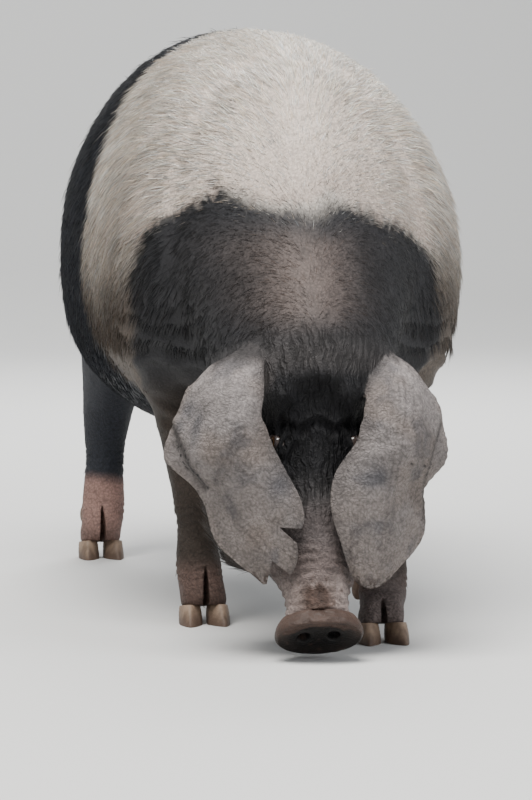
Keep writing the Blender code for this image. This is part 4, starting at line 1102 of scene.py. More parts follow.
def markings(points, ears, jitter=0.0):
    """The colour of skin and hair at each point, by the same rule for both: linear red, green, blue.

    The dark front patch and the black rump are bounded by lines given as tables, shifted by smooth
    noise; head, ears, snout and legs have their own tones. Dirt and painted shade darken the lower
    flanks, and mud and painted shade the forelegs; painted shade deepens the face's black hollow and
    darkens the skin beside the eyes; dirt browns the feet and the muzzle. jitter moves each edge by
    that much, so that hairs mix across it."""
    x, y, z = points.T
    a, s, h = head_place(points).T
    on_ear = ears[0]
    edge = 0.016 * cloud(points, 0.060, 3, 41) + jitter
    behind = np.interp(z, *np.array(RUMP_EDGE).T)
    rump = eased(y - behind + edge, -0.010, 0.010)
    right = np.interp(z, *np.array(PATCH_RIGHT).T)
    left = np.interp(z, *np.array(PATCH_LEFT).T)
    front_edge = np.where(x < -0.03, right, left)
    top = np.interp(x, *np.array(PATCH_TOP).T)
    soft = 0.009 + 0.018 * bump(x, 0.0, 0.090) * eased(z, 0.48, 0.54)
    patch = eased((np.minimum(front_edge - y, top - z) + edge) / soft, -1, 1)
    tone = cloud(points, 0.035, 3, 51)
    broad = cloud(points, 0.14, 2, 52)
    colour = chosen("saddle") * (1 + 0.07 * tone + 0.06 * broad)[:, None]
    # Dirt and painted shade darken the flanks towards the belly
    dirt = eased(z + 0.06 * broad, *BANDS["flank_dirt_and_shade"]) * 0.95
    colour = mixed(colour, np.array(FLANK_DIRT_SHADE) * (1 + 0.16 * tone)[:, None], dirt)
    dark = chosen("patch") * (1 + 0.25 * tone)[:, None]
    middle = bump(x + 0.036 + 0.01 * broad, 0.0, 0.070)
    middle = middle * eased(z, *BANDS["brown_above"]) * eased(z, *BANDS["brown_below"])
    middle = np.clip(middle * 1.1 * (0.85 + 0.30 * tone), 0, 1)
    streak = bump(x, 0.0, 0.020) * eased(z, *BANDS["streak"])
    dark = mixed(dark, np.array(NECK_BROWN) * (1 + 0.15 * tone)[:, None], middle * (1 - 0.7 * streak))
    colour = mixed(colour, dark, patch)
    colour = mixed(colour, chosen("rump") * (1 + 0.25 * tone)[:, None], rump)
    leg = leg_of(points)
    low = (leg > 0) & (leg < 3)
    # Mud and painted shade over the forelegs
    fore = eased(z, *BANDS["foreleg"]) * low
    colour = mixed(colour, np.array(FORELEG_MUD_SHADE) * (1 + 0.20 * tone)[:, None], fore)
    hind = (leg > 2) * eased(z + 0.5 * edge, *BANDS["hind_foot"])
    colour = mixed(colour, np.array(PINK) * (1 + 0.12 * tone)[:, None], hind)
    foot = low * eased(z, *BANDS["fore_foot"]) * 0.35
    colour = mixed(colour, np.array(PINK) * (0.85 + 0.12 * tone)[:, None], foot)
    mud = eased(z + 0.02 * tone, *BANDS["foot_mud"]) * (leg > 0)
    colour = mixed(colour, np.array(MUD), mud * 0.55)
    face = face_share(points, ears)
    colour = mixed(colour, chosen("face") * (1 + 0.20 * tone)[:, None], face)
    bridge = face * eased(s, *BANDS["bridge"])
    colour = mixed(colour, np.array(BRIDGE) * (1 + 0.20 * tone)[:, None], bridge)
    middle_part = face * eased(s + 0.01 * tone, *BANDS["muzzle_middle"])
    colour = mixed(colour, np.array(MUZZLE_MID) * (1 + 0.25 * tone)[:, None], middle_part)
    caked = cloud(points, 0.009, 3, 54)
    top = eased(h, -0.03, 0.0)
    cake = np.array(MUZZLE) * (1 + 0.35 * caked)[:, None]
    colour = mixed(colour, cake, face * top * eased(s + 0.012 * tone, *BANDS["muzzle"]))
    crumbs = eased(s, *BANDS["crumbs"]) * eased(caked, 0.28, 0.55)
    colour = mixed(colour, np.array(MUD), face * top * crumbs * 0.8)
    heap = face * bump(a + 0.004, 0.0, 0.021) * eased(s + 0.010 * caked, *BANDS["heap"]) * (h > 0)
    colour = mixed(colour, np.array(MUD) * (1 + 0.5 * caked)[:, None], heap * 1.5)
    jowl = eased(y, -0.40, -0.46) * eased(h, -0.01, -0.05) * (s < 0.34) * (s > 0.045) * (leg == 0)
    colour = mixed(colour, np.array(JOWL_TONE) * (1 + 0.2 * tone)[:, None], jowl)
    # The face's hollow: black skin deepened with painted shade
    hollow = face * eased(s + 0.01 * tone, *BANDS["hollow_above"])
    hollow = hollow * eased(s, *BANDS["hollow_below"]) * (h > 0.0)
    colour = mixed(colour, np.array(HOLLOW_SHADE), hollow * 0.95)
    # Painted shade round the eyes, under the ears
    beside = bump(s, 0.235, 0.040) * bump(np.abs(a), 0.050, 0.024)
    colour = mixed(colour, np.array(HOLLOW_SHADE), face * beside * (h > 0))
    away = np.abs(x - EARS_MIDDLE)
    poll = eased(z, *BANDS["poll"]) * eased(away, 0.110, 0.055) * (y < -0.40)
    poll = np.maximum(poll, eased(z, *BANDS["crown"]) * (y < -0.40))
    colour = mixed(colour, chosen("face") * (1.25 + 0.20 * tone)[:, None], on_ear * poll)
    eared = np.maximum(on_ear, near_roots(points)) * (1 - poll)
    colour = mixed(colour, ear_tones(points, ears, tone), eared)
    return np.clip(colour, 0.002, 0.9)


def near_roots(points):
    """1 round the ears' roots, fading out over the poll."""
    best = np.zeros(len(points))
    for table in (EAR_RIGHT, EAR_LEFT):
        for row, wide in zip(table, ROOT_WIDTHS):
            middle = np.array([(row[0] + row[2]) / 2, -row[4] + 0.02, (row[1] + row[3]) / 2])
            off = np.linalg.norm(points - middle, axis=1)
            best = np.maximum(best, eased(off, wide + 0.012, wide - 0.012))
    return best * eased(points[:, 1], -0.46, -0.53) * eased(points[:, 2], 0.398, 0.372)


def ear_tones(points, ears, tone):
    """The ears' grey: painted lighter at the top and darker downwards, tan towards the tips, darker in
    bluish smudges and at the tips specked with mud. Painted shade darkens the crease, the grooves beside the
    veins, the soft hollows, the inner edge and the back face, and a painted highlight runs along the outer
    edge.
    """
    _, u, v, _, outer = ears
    place = points[:, [0, 2]]
    small = cloud(points, 0.012, 2, 61)
    # Painted light: lighter at the top of the ear, darker downwards
    colour = chosen("ear") * (1.10 - 0.28 * eased(v, 0.10, 0.50) + 0.22 * tone + 0.24 * small)[:, None]
    colour = mixed(colour, np.array(EAR_TAN), eased(v + 0.3 * tone, 0.35, 0.95) * 0.45)
    brown = eased(cloud(points, 0.055, 2, 64), 0.05, 0.60)
    colour = mixed(colour, np.array(EAR_TAN), brown * 0.55)
    smudge = eased(cloud(points, 0.034, 3, 62), 0.08, 0.50)
    colour = mixed(colour, np.array(EAR_BLUE), smudge * 0.60)
    # Painted shade along the inner edge
    inner = eased(u, 0.20, 0.02) * eased(v, 0.02, 0.10)
    colour = mixed(colour, np.array(EAR_SHADE), inner * 0.45)
    for marks in (MARKS_RIGHT, MARKS_LEFT):
        crease, veins, hollows = marks
        # Painted shade in the crease
        colour = mixed(colour, np.array(EAR_SHADE) * 0.6, 0.75 * bump(apart(place, crease), 0, 0.0040))
        for vein in veins:
            off = apart(place, vein)
            # Painted shade in the grooves beside the veins
            colour = mixed(colour, np.array(EAR_SHADE), 0.35 * bump(off, 0.0040, 0.0022))
        for x, z, wide, deep in hollows:
            # Bluish painted shade in the soft hollows
            spot = bump(np.hypot(points[:, 0] - x, points[:, 2] - z), 0, wide)
            colour = mixed(colour, np.array(EAR_BLUE), (deep < 0) * 0.75 * spot)
    # Painted highlight along the outer edge
    edge = bump(u, 1, 0.05) * (v > 0.2)
    colour = mixed(colour, np.array(EAR_HIGHLIGHT), edge * 0.40)
    dirty = eased(v, 0.86, 0.96) * eased(cloud(points, 0.006, 2, 63), 0.00, 0.25)
    colour = mixed(colour, np.array(MUD) * 0.6, dirty * 0.85)
    # Painted shade over the back face, towards the head
    return mixed(colour, np.array(EAR_SHADE) * 0.7, (1 - outer) * 0.6 * (v > 0.02))


def mixed(first, second, share):
    """From the first colour to the second by each point's share."""
    share = np.clip(np.asarray(share, float), 0, 1)
    return first + (second - first) * share[:, None]


def paint(obj, colours, name="paint"):
    """Stores a colour for each point under the name given."""
    layer = obj.data.color_attributes.new(name, "FLOAT_COLOR", "POINT")
    opaque = np.hstack([colours, np.ones((len(colours), 1))])
    layer.data.foreach_set("color", opaque.astype(np.float32).ravel())


def flow(points, ears):
    """The way the hair lies: back over the body, down its sides and legs, up the face, down the ears."""
    x, y, z = points.T
    on_ear, _, _, side, _ = ears
    centre = -0.03 * turn_share(y)
    around = np.arctan2(x - centre, z - 0.42)
    slope = np.abs(np.sin(around))
    down = np.stack([np.cos(around), np.zeros(len(points)), -np.sin(around)], 1) * np.sign(around)[:, None]
    way = np.array((0, 1.0, 0)) * (1 - 0.35 * slope)[:, None] + down * (0.08 + 0.85 * slope**1.5)[:, None]
    leg = (leg_of(points) > 0) * eased(z, 0.42, 0.33)
    way = way * (1 - leg[:, None]) + np.array((0, 0.25, -1.0)) * leg[:, None]
    face = face_share(points, ears)
    up = np.array(head_frame().to_3x3() @ Vector((0, 1, 0)))
    way = way * (1 - face[:, None]) + up * face[:, None]
    way = np.where(on_ear[:, None], np.stack([0.3 * side, 0 * x, -1 + 0 * x], 1), way)
    swirl = cloud(points, 0.10, 2, 71)
    way[:, 0] += 0.25 * swirl
    way[:, 2] += 0.20 * cloud(points, 0.09, 2, 72)
    return unit(way)


def hair_sizes(points, ears):
    """Length, thickness and how thickly hair stands at each point."""
    _, y, z = points.T
    _, s, h = head_place(points).T
    on_ear = ears[0]
    longest = chosen("hair_length")
    length = longest * (1 + 0.35 * eased(z, 0.50, 0.62) * eased(y, -0.42, -0.36))
    length = length * (1 - 0.50 * eased(y, -0.36, -0.50))
    length = length * (1 - 0.50 * eased(z, 0.42, 0.28))
    length = np.where(leg_of(points) > 0, np.minimum(length, LEG_HAIR[0]), length)
    face = face_share(points, ears)
    jowl = eased(y, -0.40, -0.46) * eased(h, -0.01, -0.05) * eased(s, 0.30, 0.22) * eased(s, 0.03, 0.07)
    jowl = jowl * (leg_of(points) == 0)
    length = length * (1 - 0.78 * face) + jowl * JOWL_HAIR
    bare = np.maximum(on_ear, near_roots(points) > 0.5)
    length = np.where(bare, EAR_HAIR[0], length)
    width = np.where(on_ear, EAR_HAIR[1], chosen("hair_width") * (1 - 0.3 * face))
    width = np.where(z < 0.30, np.minimum(width, LEG_HAIR[1]), width)
    density = np.ones(len(points))
    density = density * (1 - 0.35 * face)
    density = np.where(face * eased(s, 0.12, 0.06) > 0.5, SPARSE, density)
    density = np.where(bare, BARE, density)
    density = density * (1 - 0.6 * face * eased(s, 0.33, 0.30) * eased(s, 0.16, 0.20))
    density = np.where((z < 0.09) & (leg_of(points) > 0), 0.5, density)
    dark = eased(y, -0.20, -0.32) * (z < 0.60)
    width = width * (1 - 0.22 * dark)
    density = np.maximum(density, 2.2 * jowl)
    return length, width, density


def unwrapped(points, ears):
    """Each point's place on an unwrap of the skin: the body as a cylinder, with tiles for the rest."""
    x, y, z = points.T
    a, s, h = head_place(points).T
    on_ear, u, v, side, outer = ears
    around = np.arctan2(x, z - 0.50) / (2 * np.pi) + 0.5
    place = np.stack([0.01 + 0.98 * around, 0.51 + 0.48 * np.clip((y + 0.55) / 1.30, 0, 1)], 1)
    leg = leg_of(points)
    for number, (_, top, foot, _) in enumerate(LEGS.values(), 1):
        share = np.clip(z / top[2], 0, 1)
        middle_x = foot[0] + (top[0] - foot[0]) * share
        middle_y = foot[1] + (top[1] - foot[1]) * share
        turn = np.arctan2(x - middle_x, y - middle_y) / (2 * np.pi) + 0.5
        column = 0.01 + 0.23 * turn + 0.245 * (number - 1)
        local = np.stack([column, 0.01 + 0.22 * np.clip(z / 0.40, 0, 1)], 1)
        place = np.where((leg == number)[:, None] & (z < 0.38)[:, None], local, place)
    face = (y < -0.50) & ~on_ear
    turn = np.arctan2(a, h) / (2 * np.pi) + 0.5
    local = np.stack([0.01 + 0.48 * turn, 0.26 + 0.23 * np.clip((s + 0.05) / 0.5, 0, 1)], 1)
    place = np.where(face[:, None], local, place)
    column = 0.51 + 0.12 * (side > 0) + 0.24 * outer
    on = np.stack([column + 0.11 * u, 0.26 + 0.23 * v], 1)
    return np.where(on_ear[:, None], on, place)


def coat_roots(skin, count, rng):
    """Hair roots over the skin, as thick as hair_sizes says, with the skin's normal at each."""
    skin.data.calc_loop_triangles()
    corners = np.empty(len(skin.data.loop_triangles) * 3, np.int32)
    skin.data.loop_triangles.foreach_get("vertices", corners)
    corners = corners.reshape(-1, 3)
    points, directions = vertices(skin), normals(skin)
    a, b, c = (points[corners[:, k]] for k in range(3))
    area = np.linalg.norm(np.cross(b - a, c - a), axis=1)
    middle = (a + b + c) / 3
    ears = bench["ear_map"].look(middle)
    weight = area * hair_sizes(middle, ears)[2]
    total = np.cumsum(weight)
    chosen = np.searchsorted(total, rng.random(count) * total[-1])
    first, second = rng.random((2, count, 1))
    fold = first + second > 1
    first, second = np.where(fold, 1 - first, first), np.where(fold, 1 - second, second)
    shares = (1 - first - second, first, second)
    root = sum(points[corners[chosen, k]] * share for k, share in enumerate(shares))
    normal = unit(sum(directions[corners[chosen, k]] * share for k, share in enumerate(shares)))
    return root, normal


def strands(name, root, normal, way, length, width, lift, bend, colours, patch):
    """Thin three-sided hairs: two rings of three points and a tip along a curve

    root + way * length * t + normal * (lift * t - bend * t * t), each ring a third of a turn apart."""
    count = len(root)
    along = unit(way - normal * (way * normal).sum(1, keepdims=True))
    side = np.cross(along, normal)
    t = np.array([0.0, 0.5, 1.0])[None, :, None]
    line = root[:, None] + along[:, None] * length[:, None, None] * t
    rise = lift[:, None, None] * t - bend[:, None, None] * t * t
    line = line + normal[:, None] * rise * length[:, None, None]
    line -= normal[:, None] * 0.0012 * (1 - t)
    angle = np.arange(3) * 2 * np.pi / 3
    ring = np.cos(angle)[None, :, None] * side[:, None] + np.sin(angle)[None, :, None] * normal[:, None]
    wide = width[:, None, None]
    rings = [line[:, 0, None] + ring * wide, line[:, 1, None] + ring * wide * 0.8, line[:, 2:3]]
    points = np.concatenate(rings, axis=1)
    faces = []
    for k in range(3):
        n = (k + 1) % 3
        faces += [(k, n, 3 + n), (k, 3 + n, 3 + k), (3 + k, 3 + n, 6)]
    faces.append((2, 1, 0))
    faces = np.array(faces)
    all_faces = (np.arange(count)[:, None, None] * 7 + faces).reshape(-1, 3)
    mesh = bpy.data.meshes.new(name)
    mesh.vertices.add(count * 7)
    mesh.vertices.foreach_set("co", points.astype(np.float32).ravel())
    mesh.loops.add(len(all_faces) * 3)
    mesh.loops.foreach_set("vertex_index", all_faces.astype(np.int32).ravel())
    mesh.polygons.add(len(all_faces))
    mesh.polygons.foreach_set("loop_start", (np.arange(len(all_faces)) * 3).astype(np.int32))
    mesh.polygons.foreach_set("loop_total", np.full(len(all_faces), 3, np.int32))
    mesh.polygons.foreach_set("use_smooth", np.ones(len(all_faces), bool))
    mesh.update(calc_edges=True)
    sixths = np.arange(6) * np.pi / 3
    spot = np.stack([np.append(np.cos(sixths), 0), np.append(np.sin(sixths), 0)], 1)
    uv = (patch[:, None] + spot[None] * 0.0013).reshape(-1, 2)[all_faces.ravel()]
    layer = mesh.uv_layers.new(name="OFBake")
    layer.data.foreach_set("uv", uv.astype(np.float32).ravel())
    obj = new_object(name, mesh)
    # Painted shade darkens each hair towards its root
    shade = np.repeat(STRAND_SHADE_TONES, (3, 3, 1))
    paint(obj, (colours[:, None] * shade[None, :, None]).reshape(-1, 3))
    return obj


def coat(skin, count, seed):
    """All hairs, split into pieces small enough to export."""
    rng = np.random.default_rng(seed)
    root, normal = coat_roots(skin, count, rng)
    ears = bench["ear_map"].look(root)
    length, width, _ = hair_sizes(root, ears)
    way = unit(flow(root, ears) + WAY_SPREAD * rng.normal(size=(count, 3)))
    keep = clear_of_small_parts(root)
    length = length * (0.65 + 0.6 * rng.random(count))
    width = width * (0.8 + 0.5 * rng.random(count))
    lift = 0.06 + 0.13 * rng.random(count) ** 2
    wild = rng.random(count) < WILD_SHARE
    lift = np.where(wild, WILD_LIFT, lift)
    bend = lift * (0.45 + 0.4 * rng.random(count))
    blurred = 0.009 + 0.010 * bump(root[:, 0], 0.0, 0.090) * eased(root[:, 2], 0.48, 0.54)
    colours = markings(root, ears, blurred * rng.normal(size=count))
    tone = np.clip(1 + TONE_SPREAD * rng.normal(size=(count, 1)), 0.45, 1.6)
    warm = 1 + WARM_SPREAD * rng.normal(size=(count, 1)) * np.array([1.0, 0.0, -1.0])
    pale = colours.mean(1) > 0.30
    around = np.arctan2(root[:, 0], root[:, 2] - 0.42)
    streaks = cloud(np.stack([0.40 * around, 0.20 * root[:, 1], 0.0 * around], 1), 0.010, 3, 73)
    clump = 1 + CLUMPING * streaks
    colours = colours * np.where(pale, 1.0, 1.10)[:, None] * tone * warm * clump[:, None]
    patch = unwrapped(root, ears)
    order = np.nonzero(keep)[0]
    made = []
    pieces = -(-len(order) // STRANDS_PER_PIECE)
    for number, part in enumerate(np.array_split(order, pieces), 1):
        made.append(strands(
            f"coat_{number}", root[part], normal[part], way[part], length[part], width[part],
            lift[part], bend[part], np.clip(colours[part], 0.002, 0.95), patch[part],
        ))
    return made


def clear_of_small_parts(root):
    """True where no hair would grow through an eye or the snout disc."""
    keep = np.ones(len(root), bool)
    for _, matrix in bench["eye_places"]:
        keep &= np.linalg.norm(root - np.array(matrix.translation), axis=1) > 0.021
    keep &= np.linalg.norm(root - turned([disc_frame() @ Vector((0, 0, -DISC_BACK))])[0], axis=1) > 0.050
    return keep


def eyeball(side, matrix):
    """A ball with the clear front's slight dome, turned round the eye's axis.

    Its paint runs from the pupil through a brown iris to the white."""
    angle = np.linspace(0.02, np.pi - 0.02, BALL_AROUND)
    radius = EYE_RADIUS * (1 + 0.05 * np.exp(-((angle / 0.45) ** 4)))
    around = np.arange(BALL_AROUND) * 2 * np.pi / BALL_AROUND
    rings = np.stack([
        (radius * np.sin(angle))[:, None] * np.cos(around),
        (radius * np.sin(angle))[:, None] * np.sin(around),
        np.repeat((radius * np.cos(angle))[:, None], BALL_AROUND, axis=1),
    ], -1)
    eye = swept(f"eye_{'left' if side > 0 else 'right'}_ball", rings)
    points = vertices(eye)
    off = np.arccos(np.clip(points[:, 2] / np.linalg.norm(points, axis=1), -1, 1))
    colour = mixed(np.array([PUPIL]).repeat(len(points), 0), np.array(IRIS), eased(off, 0.24, 0.30))
    colour = mixed(colour, np.array(EYE_WHITE), eased(off, 0.56, 0.64))
    paint(eye, colour)
    eye.data.transform(matrix)
    return eye


def lid_rim(side, matrix):
    """The bare rim of the lids: a thin tube along the slit's edge, lying on the ball."""
    turn = np.arange(RIM_STEPS) * 2 * np.pi / RIM_STEPS
    x = LID_SLIT[0] * 0.93 * np.cos(turn)
    y = LID_SLIT[1] * 0.95 * np.sin(turn)
    off = np.minimum(x**2 + y**2, (EYE_RADIUS * 0.98) ** 2)
    z = np.sqrt(np.maximum((EYE_RADIUS * 1.03) ** 2 - off, 1e-8))
    z = np.maximum(z, 0.0035)
    line = np.stack([x, y, z], 1)
    ahead = unit(np.roll(line, -1, 0) - np.roll(line, 1, 0))
    up = np.array([0.0, 0.0, 1.0])
    sideways = unit(np.cross(ahead, up))
    up = np.cross(sideways, ahead)
    angle = np.arange(RIM_AROUND) * 2 * np.pi / RIM_AROUND
    thick = 0.0015 + 0.0003 * np.sin(turn * 9)
    points = line[:, None] + thick[:, None, None] * (
        np.cos(angle)[None, :, None] * sideways[:, None] + np.sin(angle)[None, :, None] * up[:, None]
    )
    i, j = np.meshgrid(np.arange(RIM_STEPS), np.arange(RIM_AROUND), indexing="ij")
    n = (j + 1) % RIM_AROUND
    here, ahead = i * RIM_AROUND, (i + 1) % RIM_STEPS * RIM_AROUND
    faces = np.stack([here + j, here + n, ahead + n, ahead + j], -1)
    mesh = bpy.data.meshes.new(f"lid_rim_{'left' if side > 0 else 'right'}")
    mesh.from_pydata(points.reshape(-1, 3).tolist(), [], faces.reshape(-1, 4).tolist())
    outward(mesh)
    rim = new_object(mesh.name, mesh, matrix)
    paint(rim, np.array([LID]).repeat(len(mesh.vertices), 0))
    rim.data.shade_smooth()
    return rim


def disc_shape():
    """The snout disc as rings from the back to the middle of the face.

    Each ring is a superellipse; the face is dished a little, with a raised rim that is lumpy along the
    top, and two nostrils sink into it as smooth wells."""
    profile = smooth_rows(DISC_PROFILE, 7)
    inner = np.linspace(1, 0.02, 46)[1:, None] * (0, profile[-1, 1]) + (profile[-1, 0], 0)
    profile = np.vstack([profile, inner])
    rings = []
    for depth, share in profile:
        half, height = DISC_HALF[0] * share, DISC_HALF[1] * share
        across, up = outline(half, height, height, (2.3, 2.1), DISC_AROUND)
        rings.append(np.stack([across, up, np.full(DISC_AROUND, -depth)], 1))
    disc = swept("snout_disc_skin", rings)
    points = vertices(disc)
    x, y, z = points.T
    share = np.hypot(x / DISC_HALF[0], y / DISC_HALF[1])
    face = z > -0.012
    top = eased(y, 0.010, 0.030)
    lumps = cloud(points, 0.018, 3, 81)
    points[:, 2] += face * bump(share, 0.90, 0.12) * (0.0010 + 0.0016 * top * (0.6 + 0.6 * lumps))
    points[:, 2] += face * 0.0005 * cloud(points, 0.006, 2, 82)
    points[:, 1] += top * 0.0016 * lumps * (share > 0.8)
    heap = eased(y, 0.004, 0.022) * (share > 0.55) * bump(x, 0, 0.040)
    heap = heap * (0.6 + 0.9 * cloud(points, 0.007, 3, 84))
    points[:, 1] += 0.0035 * np.clip(heap, 0, 1.5) * (share > 0.8)
    points[:, 2] += 0.0022 * np.clip(heap, 0, 1.5) * face
    (nx, ny, _), (half_x, half_y, _) = NOSTRIL
    for side in (1, -1):
        tilt = 0.25 * side
        dx, dy = x - side * nx, y - ny
        u = (dx * math.cos(tilt) + dy * math.sin(tilt)) / half_x
        v = (-dx * math.sin(tilt) + dy * math.cos(tilt)) / half_y
        away = np.hypot(u, v)
        points[:, 2] -= face * 0.0125 * eased(away, 1.02, 0.72)
        points[:, 2] += face * 0.0012 * bump(away, 1.22, 0.20)
    set_vertices(disc, points)
    wells = np.zeros(len(points))
    for side in (1, -1):
        wells = np.maximum(wells, eased(np.hypot((x - side * nx) / half_x, (y - ny) / half_y), 1.05, 0.70))
    tone = cloud(points, 0.010, 3, 83)
    colour = chosen("snout") * (1 + 0.20 * tone)[:, None]
    # Painted shade with dirt over the disc's inner face, and more painted shade on its lower part, which
    # faces down
    inside = eased(share - 0.25 * eased(y, -0.02, 0.03), 0.85, 0.45)
    colour = mixed(colour, np.array(SNOUT_SHADE_DIRT), inside * 0.9)
    colour = mixed(colour, np.array(SNOUT_SHADE_DIRT), face * eased(y, 0.010, -0.012) * 0.75)
    caked = tone + 1.1 * eased(y, 0.000, 0.026) * (share > 0.62) + 0.4 * eased(z, -0.004, -0.012)
    colour = mixed(colour, np.array(MUD) * (1.1 + 0.5 * lumps)[:, None], eased(caked, 0.25, 0.75) * 0.85)
    # Painted shade in the nostril wells
    colour = mixed(colour, np.array(HOLLOW_SHADE) * 0.6, wells)
    paint(disc, np.clip(colour, 0.002, 0.9))
    disc.data.transform(disc_frame())
    outward(disc.data)
    disc.data.shade_smooth()
    return turn_mesh(disc)


def claw_rings(foot, side, around=12, shares=CLAW_RINGS):
    """One claw from the floor up: flat inside, rounded outside, narrow at the toe, leaning back."""
    half_width, half_length, toe, heel, stand = CLAW
    side = side * (-1 if foot[0] < 0 else 1)
    rings = []
    for share, width, length, shift in shares:
        angle = np.arange(around) * 2 * np.pi / around
        along = -np.cos(angle) * half_length * length
        across = np.sin(angle) * half_width * width
        across *= 1 - 0.42 * np.clip(-along / half_length, 0, 1) ** 2
        across += side * CLAW_TOE_OUT * (along < 0) * (along / half_length) ** 2
        back = along + shift
        height = heel + (toe - heel) * (0.5 - back / (2 * half_length))
        across = foot[0] + side * stand + across
        rings.append(np.stack([across, foot[1] - CLAW_FORWARD + back, height * share], 1))
    return np.array(rings)


def claw(name, part, side):
    """A claw with a worn edge at the floor and faint growth rings; horn above, dirt in its lower part."""
    foot = LEGS["leg_" + name][2]
    table = smooth_rows(((0.0, 0.965, 0.975, 0.0), (0.04, 0.995, 0.99, 0.0), *CLAW_RINGS[1:]), 6)
    made = swept(f"claw_{part}_{name}_horn", claw_rings(foot, side, CLAW_AROUND, table))
    points = vertices(made)
    middle = points.mean(0)
    outwards = unit((points - middle) * (1, 1, 0))
    high = eased(points[:, 2], 0.004, 0.012)
    wave = np.sin((points[:, 2] + 0.002 * noise(points, 0.02, 91)) * 2 * np.pi / 0.0046)
    points += outwards * (high * (0.00022 * wave + 0.0006 * cloud(points, 0.014, 2, 92)))[:, None]
    set_vertices(made, points)
    tone = cloud(points * (1, 1, 0.25), 0.006, 2, 93)
    colour = chosen("horn") * (1 + 0.22 * tone)[:, None]
    colour = mixed(colour, np.array(MUD), eased(points[:, 2] + 0.01 * tone, 0.026, 0.004) * 0.75)
    paint(made, np.clip(colour, 0.002, 0.9))
    made.data.shade_smooth()
    return made


def dewclaw(name, part, side):
    """One small claw behind and above the foot."""
    table, top, foot, _ = LEGS["leg_" + name]
    side = side * (-1 if foot[0] < 0 else 1)
    x, y, z = DEWCLAW_AT
    y += (top[1] - foot[1]) * z / top[2] - np.interp(z / top[2], *np.array(table)[::-1, [0, 3]].T)
    place = Matrix.Translation((foot[0] + side * x, foot[1] + y, z)) @ Matrix.Rotation(0.5, 4, "X")
    sizes = [size * 0.97 for size in DEWCLAW]
    made = ellipsoid(f"dewclaw_{part}_{name}_horn", (0, 0, 0), sizes, place, 32)
    tone = cloud(vertices(made), 0.006, 2, 94)
    paint(made, np.clip(np.array(HORN_DARK) * (1 + 0.2 * tone)[:, None], 0.002, 0.9))
    made.data.shade_smooth()
    return made


def set_inputs(made, values):
    """Sets a node's inputs, by name or number."""
    for name, value in values.items():
        made.inputs[name].default_value = value


def add_node(tree, kind, values=None, operation=None):
    """A new shader node of that kind, with its operation and the values of its inputs."""
    made = tree.nodes.new("ShaderNode" + kind)
    if operation:
        made.operation = operation
    set_inputs(made, values or {})
    return made


def new_group(name, *sockets):
    """A node group with its sockets, its input and its output node."""
    group = bpy.data.node_groups.new(name, "ShaderNodeTree")
    for title, way, kind, default in sockets:
        made = group.interface.new_socket(name=title, in_out=way, socket_type="NodeSocket" + kind)
        if default is not None:
            made.default_value = default
    return group, group.nodes.new("NodeGroupInput"), group.nodes.new("NodeGroupOutput")


def mottle_group():
    """Breaks a flat colour up with soft patches and fine specks: colour and place in, colour out."""
    group = bpy.data.node_groups.get("mottle")
    if group:
        return group
    group, inside, outside = new_group(
        "mottle",
        ("Colour", "INPUT", "Color", None),
        ("Place", "INPUT", "Vector", None),
        ("Strength", "INPUT", "Float", 0.2),
        ("Colour", "OUTPUT", "Color", None),
    )
    link = group.links.new
    patches = add_node(group, "TexNoise", {"Scale": 28, "Detail": 6, "Roughness": 0.65})
    specks = add_node(group, "TexNoise", {"Scale": 260, "Detail": 3})
    both = add_node(group, "Math", operation="ADD")
    centred = add_node(group, "Math", {1: 1.0}, "SUBTRACT")
    scaled = add_node(group, "Math", operation="MULTIPLY")
    lifted = add_node(group, "Math", {1: 1.0}, "ADD")
    shaded = add_node(group, "VectorMath", operation="SCALE")
    for texture in (patches, specks):
        link(inside.outputs["Place"], texture.inputs["Vector"])
    link(patches.outputs[0], both.inputs[0])
    link(specks.outputs[0], both.inputs[1])
    link(both.outputs[0], centred.inputs[0])
    link(centred.outputs[0], scaled.inputs[0])
    link(inside.outputs["Strength"], scaled.inputs[1])
    link(scaled.outputs[0], lifted.inputs[0])
    link(inside.outputs["Colour"], shaded.inputs[0])
    link(lifted.outputs[0], shaded.inputs["Scale"])
    link(shaded.outputs["Vector"], outside.inputs["Colour"])
    return group


